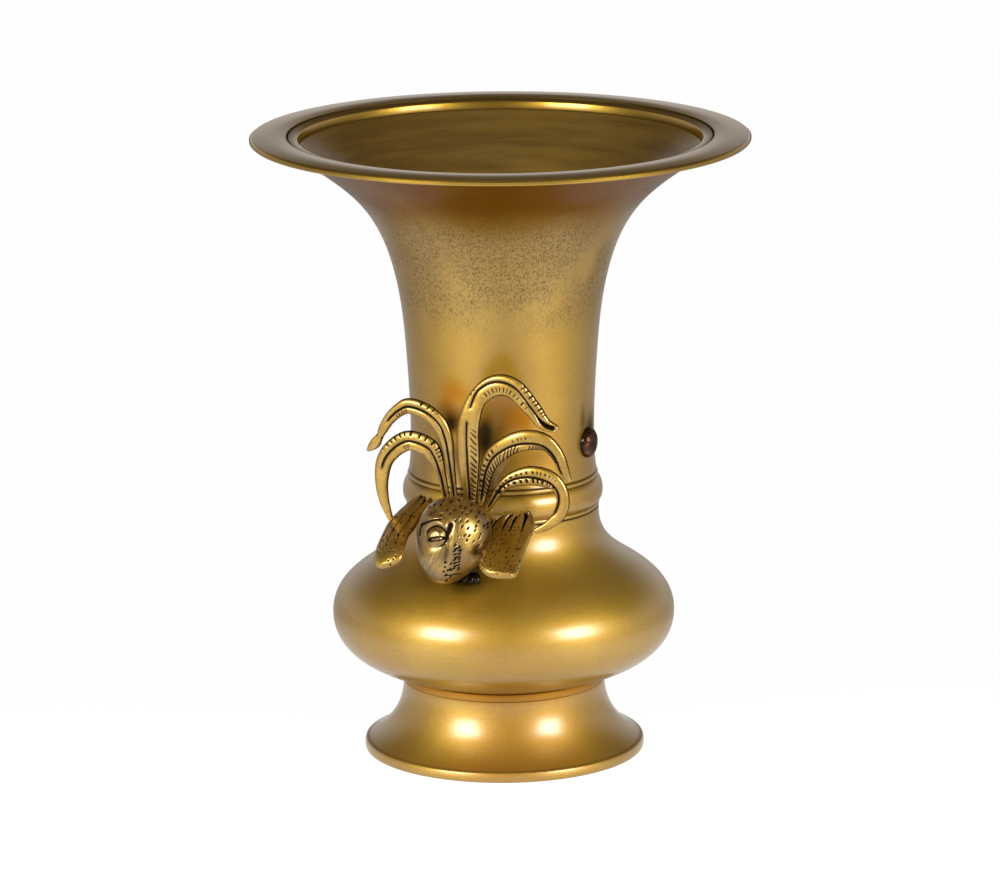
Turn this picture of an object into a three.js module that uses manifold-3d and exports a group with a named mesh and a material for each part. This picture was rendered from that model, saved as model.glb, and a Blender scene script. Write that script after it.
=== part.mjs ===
// A brass vase: a hollow flared foot, a squat belly, a ringed collar, a trumpet neck with a wide rim,
// and a cast bird with two wings and five curled tail plumes fixed to the front of the neck.
// Millimetres, +Z up, the origin on the table under the middle of the foot. The bird faces -Y.

import * as THREE from "three";
import { mergeVertices } from "three/addons/utils/BufferGeometryUtils.js";
import Module from "manifold-3d";

const wasm = await Module();
wasm.setup();

// Gaps between pieces
const solderGap = 0.3; // where one turned piece stands on another
const fitGap = 0.3; // all round where one piece goes into another

// Foot
const footHeight = 31.6;
const footRadius = 56.3;
const footNeckRadius = 40.35;
const footWall = 2.6;
const footEdgeHeight = 4.3;
const footRimWidth = 6.2; // flat ring that the vase stands on
const footEdgeRound = 0.7;

// Belly
const bellyHeight = 67.8;
const bellyRadius = 68.4;
const bellyWidestHeight = 24.6; // above the foot
const bellyNeckRadius = 38.3;
const bellyWall = 2.4;
const bellyShoulderRadius = 53.3; // where the round of the belly turns into the hollow shoulder
const bellyShoulderHeight = 45.1;

// Spigot of the belly inside the foot, and the disc that closes it
const bellySpigotDepth = 5;
const bellySpigotWall = 2.2;
const discLip = 3;
const discLipThickness = 1.6;
const discThickness = 2;

// Collar
const collarHeight = 14;
const collarStand = 1.6; // how far its band stands out past the top of the belly
const collarBeadStep = 1.85; // how far the top bead lies inside the band
const collarBeadHeight = 1.8;
const collarGrooveDepth = 0.75;
const lowerBeadStep = 1.4;
const lowerBeadHeight = 1.7;

// Neck
const neckHeight = 132.5;
const neckBaseStep = 0.7; // how far its foot lies inside the top of the belly
const neckWaistTaper = 1.1;
const neckWaistHeight = 16.7; // above the collar
const neckStemSpread = 3.06; // from the waist to where the trumpet starts
const neckFlareHeight = 65.7; // above the collar
const neckLipReach = 1.85; // how far the lip reaches under the flange
const neckWall = 2.2;
const neckSpigotGrip = 8; // how far the neck reaches down into the belly

// Rim
const rimRadius = 98.8;
const rimWidth = 14.8; // of the flange round the mouth ring
const rimThickness = 2.9;
const rimEdgeRound = 0.9;
const mouthLipWidth = 1.9; // flat part of the mouth ring
const mouthBevelWidth = 2.8;
const mouthBevelKnee = 1.7; // from the top down to where the bevel turns steep
const mouthBevelSteepWidth = 0.9;
const mouthRingDepth = 4.5;
const mouthRingEdge = 0.7;

// Side rivet and the stud behind the bird
const rivetAzimuth = THREE.MathUtils.degToRad(83.5); // from the bird's side, turning towards +X
const rivetHeight = 14.1; // above the collar
const rivetHeadRadius = 6;
const rivetHeadHeight = 3.1;
const rivetShankRadius = 2;
const roveRadius = 4.6;
const roveThickness = 1;
const peenHeight = 1.1;
const studDrop = 10; // below the top of the collar
const studRadius = 2.5;
const studReach = 8; // past the collar, through the bird's body into its head
const boreStart = 5; // from the axis of the vase

// Bird
const headWidth = 28.8;
const headLength = 35;
const headAside = -3.7; // from the middle of the bird to the middle of the head
const headBelow = 15.9; // from the top of the collar down to the middle of the head
const headReach = 17; // from the collar out to the middle of the head
const bodyWidth = 20;
const bodyLength = 24;
const bodyHeight = 20;
const wingThickness = 3.6;
const wingPegRadius = 1.9;
const plumeThickness = 4.6;
const plumeGroove = 0.34; // depth of the central groove, as a share of the thickness
const plumeFanReach = 5.1; // from the collar to the roots of the plumes
const bodyOut = 6.5; // from the collar to the middle of the body
const clawRadius = 1.5;
const clawSpread = 4;
const clawAside = -1.5;
const legRadius = 1.9;
const legLength = 12; // from the ankle up into the body
const legReach = 8.5; // from the collar to the legs

// Facets
const roundSteps = 36;
const plumeSteps = 20;

// Levels, from the table up
const bellyBase = footHeight + solderGap;
const bellyTop = bellyBase + bellyHeight;
const collarBase = bellyTop + solderGap;
const collarTop = collarBase + collarHeight;
const neckBase = collarTop + solderGap;
const neckTop = neckBase + neckHeight;
const rimBase = neckTop + solderGap;
const rimTop = rimBase + rimThickness;

// Radii that follow from one another, from the top of the belly to the mouth
const collarRadius = bellyNeckRadius + collarStand;
const collarBeadRadius = collarRadius - collarBeadStep;
const lowerBeadRadius = collarRadius - lowerBeadStep;
const neckBaseRadius = bellyNeckRadius - neckBaseStep;
const neckWaistRadius = neckBaseRadius - neckWaistTaper;
const neckFlareRadius = neckWaistRadius + neckStemSpread;
const mouthRadius = rimRadius - rimWidth;
const neckLipRadius = mouthRadius + neckLipReach;

// Bores that the spigots go into
const footBore = footNeckRadius - footWall;
const bellySpigotRadius = footBore - fitGap;
const bellySpigotBore = bellySpigotRadius - bellySpigotWall;
const bellyBore = bellyNeckRadius - bellyWall;
const neckSpigotRadius = bellyBore - fitGap;

// Materials
const brass = new THREE.MeshStandardMaterial({ color: 0xb08a3c, metalness: 1, roughness: 0.34 });
const castBrass = new THREE.MeshStandardMaterial({ color: 0xa98743, metalness: 1, roughness: 0.4 });
const darkBrass = new THREE.MeshStandardMaterial({ color: 0x5a4724, metalness: 1, roughness: 0.55 });
const copper = new THREE.MeshStandardMaterial({ color: 0x7a4630, metalness: 1, roughness: 0.4 });

const vase = new THREE.Group();

function addPiece(name, geometry, material) {
  geometry.computeVertexNormals();
  const mesh = new THREE.Mesh(geometry, material);
  mesh.name = name;
  vase.add(mesh);
}

// Profiles and turned pieces

const point = (r, z) => new THREE.Vector2(r, z);

function curve(a, b, c, d, steps) {
  return new THREE.CubicBezierCurve(a, b, c, d).getPoints(steps);
}

// A path moved sideways by distance: to its left as it is walked.
function offsetPath(path, distance) {
  return path.map((p, i) => {
    const before = path[Math.max(i - 1, 0)];
    const after = path[Math.min(i + 1, path.length - 1)];
    const along = after.clone().sub(before).normalize();
    return point(p.x - along.y * distance, p.y + along.x * distance);
  });
}

// Inner walls need fewer corners than what shows.
const everyOther = (path) => path.filter((p, i) => i % 2 === 0 || i === path.length - 1);

// Turns a closed outline about the vertical axis.
function turn(outline, steps = roundSteps) {
  const clean = outline.filter((p, i) => i === 0 || p.distanceTo(outline[i - 1]) > 0.02);
  const closed = clean[0].x === 0 ? clean : [...clean, clean[0].clone()];
  const geometry = new THREE.LatheGeometry(closed, steps);
  geometry.rotateX(Math.PI / 2);
  return facingOut(geometry);
}

// Solids

function mergedCopy(geometry) {
  const bare = new THREE.BufferGeometry();
  bare.setAttribute("position", geometry.getAttribute("position").clone());
  bare.setIndex(geometry.index ? geometry.index.clone() : null);
  const merged = mergeVertices(bare, 1e-4);
  const kept = [];
  const index = merged.index.array;
  for (let i = 0; i < index.length; i += 3) {
    const [a, b, c] = [index[i], index[i + 1], index[i + 2]];
    if (a !== b && b !== c && a !== c) kept.push(a, b, c);
  }
  merged.setIndex(kept);
  return merged;
}

// Merges shared corners and turns the faces outwards.
function facingOut(geometry) {
  const merged = mergedCopy(geometry);
  const [a, b, c] = [new THREE.Vector3(), new THREE.Vector3(), new THREE.Vector3()];
  const corners = merged.getAttribute("position");
  const index = merged.index.array;
  let volume = 0;
  for (let i = 0; i < index.length; i += 3) {
    a.fromBufferAttribute(corners, index[i]);
    b.fromBufferAttribute(corners, index[i + 1]);
    c.fromBufferAttribute(corners, index[i + 2]);
    volume += a.dot(b.cross(c));
  }
  if (volume < 0) {
    const turned = [];
    for (let i = 0; i < index.length; i += 3) turned.push(index[i], index[i + 2], index[i + 1]);
    merged.setIndex(turned);
  }
  return merged;
}

function toSolid(geometry) {
  const ready = facingOut(geometry);
  return new wasm.Manifold(
    new wasm.Mesh({
      numProp: 3,
      vertProperties: new Float32Array(ready.getAttribute("position").array),
      triVerts: new Uint32Array(ready.index.array),
    }),
  );
}

// The largest body of a solid, as a geometry: cuts can leave loose slivers.
function toGeometry(solid) {
  const [largest] = solid.decompose().sort((a, b) => b.volume() - a.volume());
  const mesh = largest.getMesh();
  const geometry = new THREE.BufferGeometry();
  geometry.setAttribute("position", new THREE.BufferAttribute(mesh.vertProperties, 3));
  geometry.setIndex(new THREE.BufferAttribute(mesh.triVerts, 1));
  return mergedCopy(geometry);
}

// A closed skin over rings of points, each ring with as many points, its ends closed by fans.
function loft(rings) {
  const around = rings[0].length;
  const corners = rings.flat();
  const index = [];
  for (let i = 0; i + 1 < rings.length; i++) {
    for (let j = 0; j < around; j++) {
      const next = (j + 1) % around;
      const [a, b] = [i * around + j, i * around + next];
      index.push(a, b, b + around, a, b + around, a + around);
    }
  }
  for (const [ring, first] of [[rings[0], 0], [rings.at(-1), (rings.length - 1) * around]]) {
    const middle = ring.reduce((sum, p) => sum.add(p), new THREE.Vector3()).divideScalar(around);
    const hub = corners.push(middle) - 1;
    for (let j = 0; j < around; j++) {
      const [a, b] = [first + j, first + ((j + 1) % around)];
      if (first === 0) index.push(hub, b, a);
      else index.push(hub, a, b);
    }
  }
  const geometry = new THREE.BufferGeometry().setFromPoints(corners);
  geometry.setIndex(index);
  return facingOut(geometry);
}

// Foot

function footGeometry() {
  const flare = curve(
    point(footRadius - 1.5, footEdgeHeight),
    point(footRadius - 10.1, footEdgeHeight + 4.2),
    point(footNeckRadius, footHeight - 14.3),
    point(footNeckRadius, footHeight - 3.3),
    6,
  );
  const inside = curve(
    point(footBore, footHeight - bellySpigotDepth),
    point(footBore, footHeight - 16),
    point(footRadius - footRimWidth - 6.8, footEdgeHeight + 1.6),
    point(footRadius - footRimWidth, footEdgeHeight - 2),
    4,
  );
  return turn([
    point(footRadius - footRimWidth, 0),
    point(footRadius - footEdgeRound, 0),
    point(footRadius - 0.15, footEdgeRound),
    point(footRadius, footEdgeHeight / 2),
    point(footRadius - 0.45, footEdgeHeight - 0.6),
    ...flare,
    point(footNeckRadius, footHeight),
    point(footBore, footHeight),
    ...inside,
  ]);
}

// Belly

function bellyOutline() {
  const widest = bellyBase + bellyWidestHeight;
  const shoulder = bellyBase + bellyShoulderHeight;
  const lower = curve(
    point(footNeckRadius, bellyBase),
    point(footNeckRadius + 5.8, bellyBase + 2),
    point(bellyRadius, widest - 18.1),
    point(bellyRadius, widest),
    6,
  );
  const upper = curve(
    point(bellyRadius, widest),
    point(bellyRadius, widest + 9),
    point(bellyShoulderRadius + 9.07, shoulder - 5.65),
    point(bellyShoulderRadius, shoulder),
    4,
  );
  const hollow = curve(
    point(bellyShoulderRadius, shoulder),
    point(bellyShoulderRadius - 8.85, shoulder + 5.4),
    point(bellyNeckRadius, bellyTop - 11.8),
    point(bellyNeckRadius, bellyTop - 1.9),
    5,
  );
  return [...lower, ...upper.slice(1), ...hollow.slice(1)];
}

function bellyGeometry() {
  const outside = bellyOutline();
  const lipTop = bellyBase - bellySpigotDepth + discLipThickness;
  const within = everyOther(
    offsetPath(outside, bellyWall).filter((p) => p.x > bellyBore + 0.3 && p.y < bellyTop - 2.5),
  );
  return turn([
    point(bellySpigotBore - discLip, bellyBase - bellySpigotDepth),
    point(bellySpigotRadius, bellyBase - bellySpigotDepth),
    point(bellySpigotRadius, bellyBase),
    ...outside,
    point(bellyNeckRadius, bellyTop),
    point(bellyBore, bellyTop),
    point(bellyBore, bellyTop - 2.2),
    ...within.reverse(),
    point(bellySpigotBore, bellyBase + 1.9),
    point(bellySpigotBore, lipTop),
    point(bellySpigotBore - discLip, lipTop),
  ]);
}

function baseDiscGeometry() {
  const underside = bellyBase - bellySpigotDepth + discLipThickness + solderGap;
  const radius = bellySpigotBore - fitGap;
  return turn([
    point(0, underside),
    point(radius, underside),
    point(radius, underside + discThickness),
    point(0, underside + discThickness),
  ]);
}

// Collar

function collarOutline() {
  const bandBase = collarBase + lowerBeadHeight;
  const bandTop = collarTop - collarBeadHeight - 0.4;
  const groove = collarBeadRadius - collarGrooveDepth;
  const middle = (bandBase + bandTop) / 2;
  return [
    point(lowerBeadRadius - 0.35, collarBase),
    point(lowerBeadRadius, collarBase + lowerBeadHeight / 2),
    point(lowerBeadRadius - 0.3, bandBase),
    point((lowerBeadRadius + collarRadius) / 2 + 0.2, bandBase + 1.6),
    point(collarRadius - 0.15, middle - 1.6),
    point(collarRadius, middle),
    point(collarRadius - 0.25, middle + 1.8),
    point(collarRadius - 1, bandTop - 1.3),
    point(groove + 0.5, bandTop - 0.1),
    point(groove, bandTop + 0.2),
    point(collarBeadRadius - 0.15, bandTop + 0.6),
    point(collarBeadRadius, collarTop - 0.9),
    point(collarBeadRadius - 0.25, collarTop - 0.3),
    point(groove + 0.1, collarTop),
  ];
}

function collarGeometry() {
  return turn([point(bellyBore, collarBase), ...collarOutline(), point(bellyBore, collarTop)]);
}

// Neck

function neckOutline() {
  const waist = neckBase + neckWaistHeight;
  const flare = neckBase + neckFlareHeight;
  const base = curve(
    point(neckBaseRadius, neckBase),
    point(neckBaseRadius - 0.75, neckBase + 2.6),
    point(neckWaistRadius, waist - 8),
    point(neckWaistRadius, waist),
    3,
  );
  const stem = curve(
    point(neckWaistRadius, waist),
    point(neckWaistRadius, waist + 12.8),
    point(neckFlareRadius - 1.45, flare - 10.7),
    point(neckFlareRadius, flare),
    4,
  );
  const trumpet = curve(
    point(neckFlareRadius, flare),
    point(neckFlareRadius + 5.8, flare + 42.6),
    point(neckLipRadius - 25.4, neckTop - 17.8),
    point(neckLipRadius, neckTop),
    8,
  );
  return [...base, ...stem.slice(1), ...trumpet.slice(1)];
}

// The radius that a climbing path has at a level.
function radiusAt(path, level) {
  const i = path.findIndex((p) => p.y >= level);
  const [low, high] = [path[Math.max(i - 1, 0)], path[i]];
  const share = high === low ? 0 : (level - low.y) / (high.y - low.y);
  return low.x + share * (high.x - low.x);
}

function neckInside() {
  const moved = offsetPath(neckOutline(), neckWall);
  const body = moved.filter((p) => p.y < neckTop - 0.4 && p.y > neckBase + 3);
  const [a, b] = [moved.at(-2), moved.at(-1)];
  const slope = (b.x - a.x) / (b.y - a.y);
  const last = body.at(-1);
  return [...everyOther(body), point(last.x + slope * (neckTop - last.y), neckTop)];
}

function neckGeometry() {
  const spigotFoot = bellyTop - neckSpigotGrip;
  const spigotBore = neckSpigotRadius - neckWall;
  return turn([
    point(spigotBore, spigotFoot),
    point(neckSpigotRadius, spigotFoot),
    point(neckSpigotRadius, neckBase),
    ...neckOutline(),
    ...neckInside().reverse(),
    point(spigotBore, neckBase + 1),
  ]);
}

// Rim

function rimGeometry() {
  const round = rimEdgeRound;
  return turn([
    point(mouthRadius, rimBase),
    point(rimRadius - 1.4 * round, rimBase),
    point(rimRadius - 0.4 * round, rimBase + 0.5 * round),
    point(rimRadius, rimBase + rimThickness / 2),
    point(rimRadius - 0.3 * round, rimTop - 0.5 * round),
    point(rimRadius - round, rimTop),
    point(mouthRadius, rimTop),
  ]);
}

// A bevelled ring that rests on the lip of the neck inside the flange.
function mouthRingGeometry() {
  const outer = mouthRadius - fitGap;
  const bevelTop = outer - mouthLipWidth;
  const bevelFoot = bevelTop - mouthBevelWidth;
  const seat = radiusAt(neckInside(), neckTop - 0.05);
  const lowest = rimTop - mouthRingDepth;
  return turn([
    point(bevelFoot, lowest),
    point(bevelFoot + mouthRingEdge, lowest),
    point(seat - 2 * fitGap, rimBase - solderGap),
    point(seat - 2 * fitGap, rimBase),
    point(outer, rimBase),
    point(outer, rimTop),
    point(bevelTop, rimTop),
    point(bevelFoot + mouthBevelSteepWidth, rimTop - mouthBevelKnee),
  ]);
}

// Rivet and stud, first along +Y from the axis of the vase, then turned to their place

// Turned about the Y axis, with its radius and its distance from the vase's axis in the outline.
function turnOutwards(outline, steps) {
  const geometry = new THREE.LatheGeometry([...outline, outline[0].clone()], steps);
  return facingOut(geometry);
}

function placedAt(geometry, azimuth, height) {
  geometry.rotateZ(azimuth + Math.PI);
  geometry.translate(0, 0, height);
  return geometry;
}

function shankHole(radius, azimuth, height, tip) {
  const bore = new THREE.CylinderGeometry(radius + fitGap, radius + fitGap, tip - boreStart, 16);
  bore.translate(0, (tip + boreStart) / 2, 0);
  return toSolid(placedAt(bore, azimuth, height));
}

// Where a flat disc inside a round wall stops.
const flatInside = (bore, radius) => Math.sqrt(bore ** 2 - radius ** 2);

function roveGeometry(bore, shankRadius, azimuth, height) {
  const outer = flatInside(bore, roveRadius) - solderGap;
  const ring = turnOutwards(
    [
      point(shankRadius + fitGap, outer - roveThickness),
      point(roveRadius, outer - roveThickness),
      point(roveRadius, outer),
      point(shankRadius + fitGap, outer),
    ],
    20,
  );
  return placedAt(ring, azimuth, height);
}

// The peened end of a shank, from its tip to where the shank begins.
function peenOutline(bore, shankRadius) {
  const seat = flatInside(bore, roveRadius) - roveThickness - 2 * solderGap;
  return [
    point(0, seat - peenHeight),
    point(0.6 * shankRadius, seat - 0.85 * peenHeight),
    point(shankRadius + 1, seat - 0.2 * peenHeight),
    point(shankRadius + 1, seat),
    point(shankRadius, seat),
  ];
}

function rivetGeometry(bore, height) {
  const around = [-1, 0, 1].map((k) => radiusAt(neckOutline(), height + k * rivetHeadRadius));
  const seat = Math.max(...around) + solderGap;
  const dome = new THREE.CubicBezierCurve(
    point(rivetHeadRadius, seat + 0.6),
    point(rivetHeadRadius * 0.93, seat + rivetHeadHeight * 0.72),
    point(rivetHeadRadius * 0.5, seat + rivetHeadHeight),
    point(0, seat + rivetHeadHeight),
  ).getPoints(5);
  return turnOutwards(
    [
      ...peenOutline(bore, rivetShankRadius),
      point(rivetShankRadius, seat),
      point(rivetHeadRadius, seat),
      ...dome,
    ],
    20,
  );
}

function studGeometry(bore) {
  const tip = collarRadius + studReach - fitGap;
  const nose = [point(studRadius, tip - 0.6), point(studRadius - 0.6, tip), point(0, tip)];
  return turnOutwards([...peenOutline(bore, studRadius), ...nose], 16);
}

// Bird. A place on it is given across (+X), up from the top of the collar, and out from the collar's band.

const place = (across, up, out) => new THREE.Vector3(across, -(collarRadius + out), collarTop + up);
const axis = (across, up, out) => new THREE.Vector3(across, -out, up).normalize();

// The places of the face, the wings and the plumes are drawn for a head of this length, and grow with it.
const drawnHeadLength = 35;
const birdScale = headLength / drawnHeadLength;
const drawn = (across, up, out) => place(across * birdScale, up * birdScale, out * birdScale);

// Head: an egg with its blunt beak downwards, turned a little towards +X and tilted.
const headTurn = THREE.MathUtils.degToRad(17);
const headNod = THREE.MathUtils.degToRad(13.4);
const headTilt = THREE.MathUtils.degToRad(20);
const headFront = axis(
  Math.sin(headTurn) * Math.cos(headNod),
  Math.sin(headNod),
  Math.cos(headTurn) * Math.cos(headNod),
);
const headLevel = new THREE.Vector3(Math.cos(headTurn), Math.sin(headTurn), 0);
const headRise = headLevel.clone().cross(headFront).negate();
const headSide = headLevel.clone().applyAxisAngle(headFront, -headTilt);
const headUp = headRise.clone().applyAxisAngle(headFront, -headTilt);
const headMiddle = () => place(headAside, -headBelow, headReach);

// Raises and sinks the face: a soft bump of some height at (side, up), as wide as its reach.
function bump(side, up, atSide, atUp, reach, height) {
  const away = ((side - atSide) ** 2 + (up - atUp) ** 2) / reach ** 2;
  return height * Math.exp(-away);
}

// How far the face stands out at a place on the front of the head.
function faceRelief(side, up) {
  const socket = bump(side, up, -6.2, 0.6, 4, -1.5) + bump(side, up, -0.6, 2.6, 2, -1.6);
  const eyeball = bump(side, up, -6.4, 0, 2.6, 2.2);
  const brow = bump(side, up, -8.4, 5.4, 2.4, 0.9) + bump(side, up, -4, 5.6, 2.4, 0.8);
  const beak = bump(side, up, -6, -8.4, 4.4, 1.5);
  const ridge = bump(side, up, 2.4, -6.4, 3, 0.9) + bump(side, up, 3.2, -11, 2.8, 0.7);
  const valley = bump(side, up, -1.2, -3.4, 1.9, -1.2) + bump(side, up, -1.8, -7.4, 1.9, -1.1);
  const cheek = bump(side, up, 8.6, -4.4, 3.2, 1.1);
  return socket + eyeball + brow + beak + ridge + valley + cheek;
}

function headGeometry(grow = 0) {
  const geometry = new THREE.SphereGeometry(1, 26, 18);
  const corners = geometry.getAttribute("position");
  const corner = new THREE.Vector3();
  for (let i = 0; i < corners.count; i++) {
    corner.fromBufferAttribute(corners, i);
    const wide = (headWidth / 2) * (1 + 0.2 * corner.y);
    const side = corner.x * wide;
    const front = corner.z * wide;
    const up = corner.y * (headLength / 2);
    const facing = Math.max(corner.z, 0);
    const face = birdScale * faceRelief(side / birdScale, up / birdScale);
    const relief = grow > 0 ? Math.max(face, 0) : face;
    const out = 1 + (grow + relief * Math.min(1, 2 * facing)) / wide;
    corner
      .copy(headMiddle())
      .addScaledVector(headSide, side * out)
      .addScaledVector(headFront, front * out)
      .addScaledVector(headUp, up * (1 + grow / (headLength / 2)));
    corners.setXYZ(i, corner.x, corner.y, corner.z);
  }
  return facingOut(geometry);
}

// Wings: each station runs from the inner edge to the outer edge, from the front lobe to the feather tips.
// The grooves between the feathers start at a share of the way along.
const rightWing = {
  grooves: 0.6,
  stations: [
    { inner: [16.4, -26, 31], outer: [25, -25.9, 30] },
    { inner: [12.5, -23.6, 30], outer: [26.2, -25, 26.5] },
    { inner: [10.2, -21.3, 26.5], outer: [25.7, -23.2, 21] },
    { inner: [9.3, -18.9, 21], outer: [25.3, -19.5, 14] },
    { inner: [8.2, -16.7, 14], outer: [25.3, -16.4, 8] },
    { inner: [7.6, -13.8, 8], outer: [25.4, -14.1, 3.5] },
    { inner: [8.4, -11.4, 3.5], outer: [25.2, -11.7, 0] },
    { inner: [11.2, -9.4, 1], outer: [23.9, -9.9, -3] },
    { inner: [13.8, -8.2, 0], outer: [21.6, -7.5, -4] },
  ],
};
const leftWing = {
  grooves: 0.35,
  stations: [
    { inner: [-23.8, -24.4, 31], outer: [-29.8, -26, 30] },
    { inner: [-20.2, -21.3, 30], outer: [-32.4, -23.4, 26.5] },
    { inner: [-20, -17.9, 26.5], outer: [-33.3, -21, 21] },
    { inner: [-20.3, -14.9, 21], outer: [-33.3, -17.7, 14] },
    { inner: [-19.6, -12.5, 14], outer: [-32.5, -13.5, 8] },
    { inner: [-19, -9.5, 8], outer: [-30.9, -11.2, 3] },
    { inner: [-17.7, -7.4, 3], outer: [-28.7, -8.9, -1] },
    { inner: [-17, -5.8, 0], outer: [-26.2, -6.9, -3.5] },
    { inner: [-17.7, -4.9, -1.5], outer: [-22.7, -4.7, -5] },
  ],
};
const wingFingers = 4;
const wingAcross = 16;

// The feathers stand apart as ridges towards the tips, and the lobe at the front is plain.
function wingGeometry({ stations, grooves }, grow = 0) {
  const front = new THREE.Vector3();
  const rings = stations.map(({ inner, outer }, i) => {
    const from = drawn(...inner);
    const to = drawn(...outer);
    const after = stations[Math.min(i + 1, stations.length - 1)];
    const before = stations[Math.max(i - 1, 0)];
    const along = drawn(...after.inner).sub(drawn(...before.inner));
    const across = to.clone().sub(from);
    const width = across.length();
    across.normalize();
    front.crossVectors(along, across).normalize();
    if (front.y > 0) front.negate();
    const share = i / (stations.length - 1);
    const ridged = THREE.MathUtils.smoothstep(share, grooves, grooves + 0.3);
    const thin = i === 0 || i === stations.length - 1 ? 0.55 : 1;
    const skin = (t, side) => {
      const crown = Math.sqrt(Math.max(1 - (2 * t - 1) ** 2, 0));
      const finger = Math.abs(Math.sin(t * wingFingers * Math.PI));
      const swell = crown * (1 - 0.4 * ridged * (1 - finger)) * wingThickness * thin;
      const lift = side > 0 ? 0.78 * swell + grow : -0.22 * swell - grow;
      return from
        .clone()
        .addScaledVector(across, t * width + (2 * t - 1) * grow)
        .addScaledVector(front, lift);
    };
    const steps = Array.from({ length: wingAcross + 1 }, (_, k) => k / wingAcross);
    const back = [0.8, 0.5, 0.2];
    return [...steps.map((t) => skin(t, 1)), ...back.map((t) => skin(t, -1))];
  });
  return loft(rings);
}

// A round bar between two places, grown all round.
function barGeometry(from, to, radius, grow = 0) {
  const length = from.distanceTo(to);
  const bar = new THREE.CylinderGeometry(radius + grow, radius + grow, length + 2 * grow, 10);
  bar.translate(0, length / 2, 0);
  const along = to.clone().sub(from).normalize();
  bar.applyQuaternion(new THREE.Quaternion().setFromUnitVectors(new THREE.Vector3(0, 1, 0), along));
  bar.translate(from.x, from.y, from.z);
  return bar;
}

// A short peg from the back of the wing into the side of the body.
function wingPeg({ stations }, grow = 0) {
  const { inner, outer } = stations[5];
  const tip = drawn(...inner).lerp(drawn(...outer), 0.25);
  const root = drawn(0.4 * inner[0], inner[1] - 1, bodyOut);
  return barGeometry(root, tip, wingPegRadius, grow);
}

// A bar from the inner edge of the left wing to the side of the head.
function wingStay(grow = 0) {
  const { inner, outer } = leftWing.stations[3];
  const tip = drawn(...inner).lerp(drawn(...outer), 0.15);
  return barGeometry(headMiddle(), tip, wingPegRadius, grow);
}

// Tail plumes: each point is across, up, out from the fan's roots, and half the width there.
const plumes = {
  plume_centre: [
    [0.0, -6.5, -1.0, 2.0],
    [0.5, 1.6, 0.0, 2.9],
    [0.9, 15.1, 3.2, 4.4],
    [1.5, 29.2, 4.9, 4.4],
    [5.1, 39.8, 4.9, 3.7],
    [11.9, 45.5, 4.6, 4.2],
    [19.4, 44.9, 4.1, 4.2],
    [26.4, 37.7, 3.2, 3.6],
    [31.4, 31.4, 2.5, 2.8],
    [37.1, 28.9, 1.6, 1.2],
  ],
  plume_upper_left: [
    [-5.8, -5.9, -1.0, 1.2],
    [-6.6, 4.0, 0.0, 1.4],
    [-7.2, 14.1, 2.0, 1.9],
    [-8.0, 22.5, 3.6, 2.7],
    [-10.4, 28.9, 4.4, 3.05],
    [-15.4, 33.4, 4.6, 3.1],
    [-22.7, 35.3, 4.0, 3.15],
    [-27.2, 33.4, 3.4, 2.7],
    [-31.5, 29.4, 2.8, 2.3],
    [-34.4, 24.9, 2.3, 1.9],
    [-35.8, 22.1, 1.9, 1.5],
    [-37.9, 19.0, 1.3, 2.1],
    [-39.9, 17.0, 0.8, 1.5],
    [-41.5, 15.4, 0.3, 0.5],
  ],
  plume_lower_left: [
    [-8.7, -6.1, -1.0, 1.2],
    [-10.1, 1.3, -0.2, 1.6],
    [-10.8, 6.3, 0.6, 1.8],
    [-12.0, 12.1, 1.8, 2.5],
    [-13.4, 15.8, 2.6, 3.4],
    [-15.8, 19.2, 3.2, 3.9],
    [-22.3, 21.3, 3.3, 3.95],
    [-26.8, 19.9, 3.0, 3.9],
    [-31.1, 16.4, 2.4, 3.7],
    [-34.0, 12.3, 1.6, 3.4],
    [-35.4, 7.5, 0.9, 3.05],
    [-35.8, 1.5, 0.4, 2.5],
    [-35.0, -4.3, 0.2, 2.0],
    [-33.7, -8.2, 0.3, 1.5],
    [-32.1, -12.2, 0.5, 1.0],
  ],
  plume_upper_right: [
    [4.2, -4.4, -1.0, 1.4],
    [5.9, 3.2, -0.2, 2.0],
    [7.6, 10.6, 0.9, 2.8],
    [11.4, 17.1, 2.2, 3.8],
    [17.8, 22.0, 3.2, 4.0],
    [23.8, 24.2, 3.0, 4.1],
    [29.8, 24.1, 2.0, 3.7],
    [33.8, 21.7, 1.0, 3.0],
    [36.7, 17.3, 0.0, 2.6],
    [38.3, 12.2, -1.2, 2.2],
    [39.6, 8.9, -2.2, 1.4],
    [40.8, 7.6, -2.8, 0.6],
  ],
  plume_lower_right: [
    [6.4, -6.4, -1.2, 1.1],
    [9.5, -1.6, -0.6, 1.4],
    [13.3, 4.0, -0.1, 2.0],
    [17.9, 7.4, 0.0, 2.95],
    [24.2, 9.2, -0.2, 3.8],
    [29.4, 9.0, -0.6, 3.9],
    [33.6, 7.7, -1.0, 3.4],
    [36.4, 4.9, -1.4, 2.85],
    [37.7, 1.2, -1.7, 2.65],
    [37.4, -2.9, -1.9, 2.65],
    [35.4, -7.0, -2.0, 2.4],
    [31.8, -10.4, -1.7, 1.8],
    [28.4, -12.3, -1.2, 1.4],
    [26.3, -13.2, -0.8, 1.1],
  ],
};

// Cross section of a plume: two rounded ridges with a groove between, as shares of width and thickness.
const plumeSection = [
  [-1, 0],
  [-0.72, 0.42],
  [-0.36, 0.5],
  [0, 0.5 - plumeGroove],
  [0.36, 0.5],
  [0.72, 0.42],
  [1, 0],
  [0.6, -0.42],
  [-0.6, -0.42],
];

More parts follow.
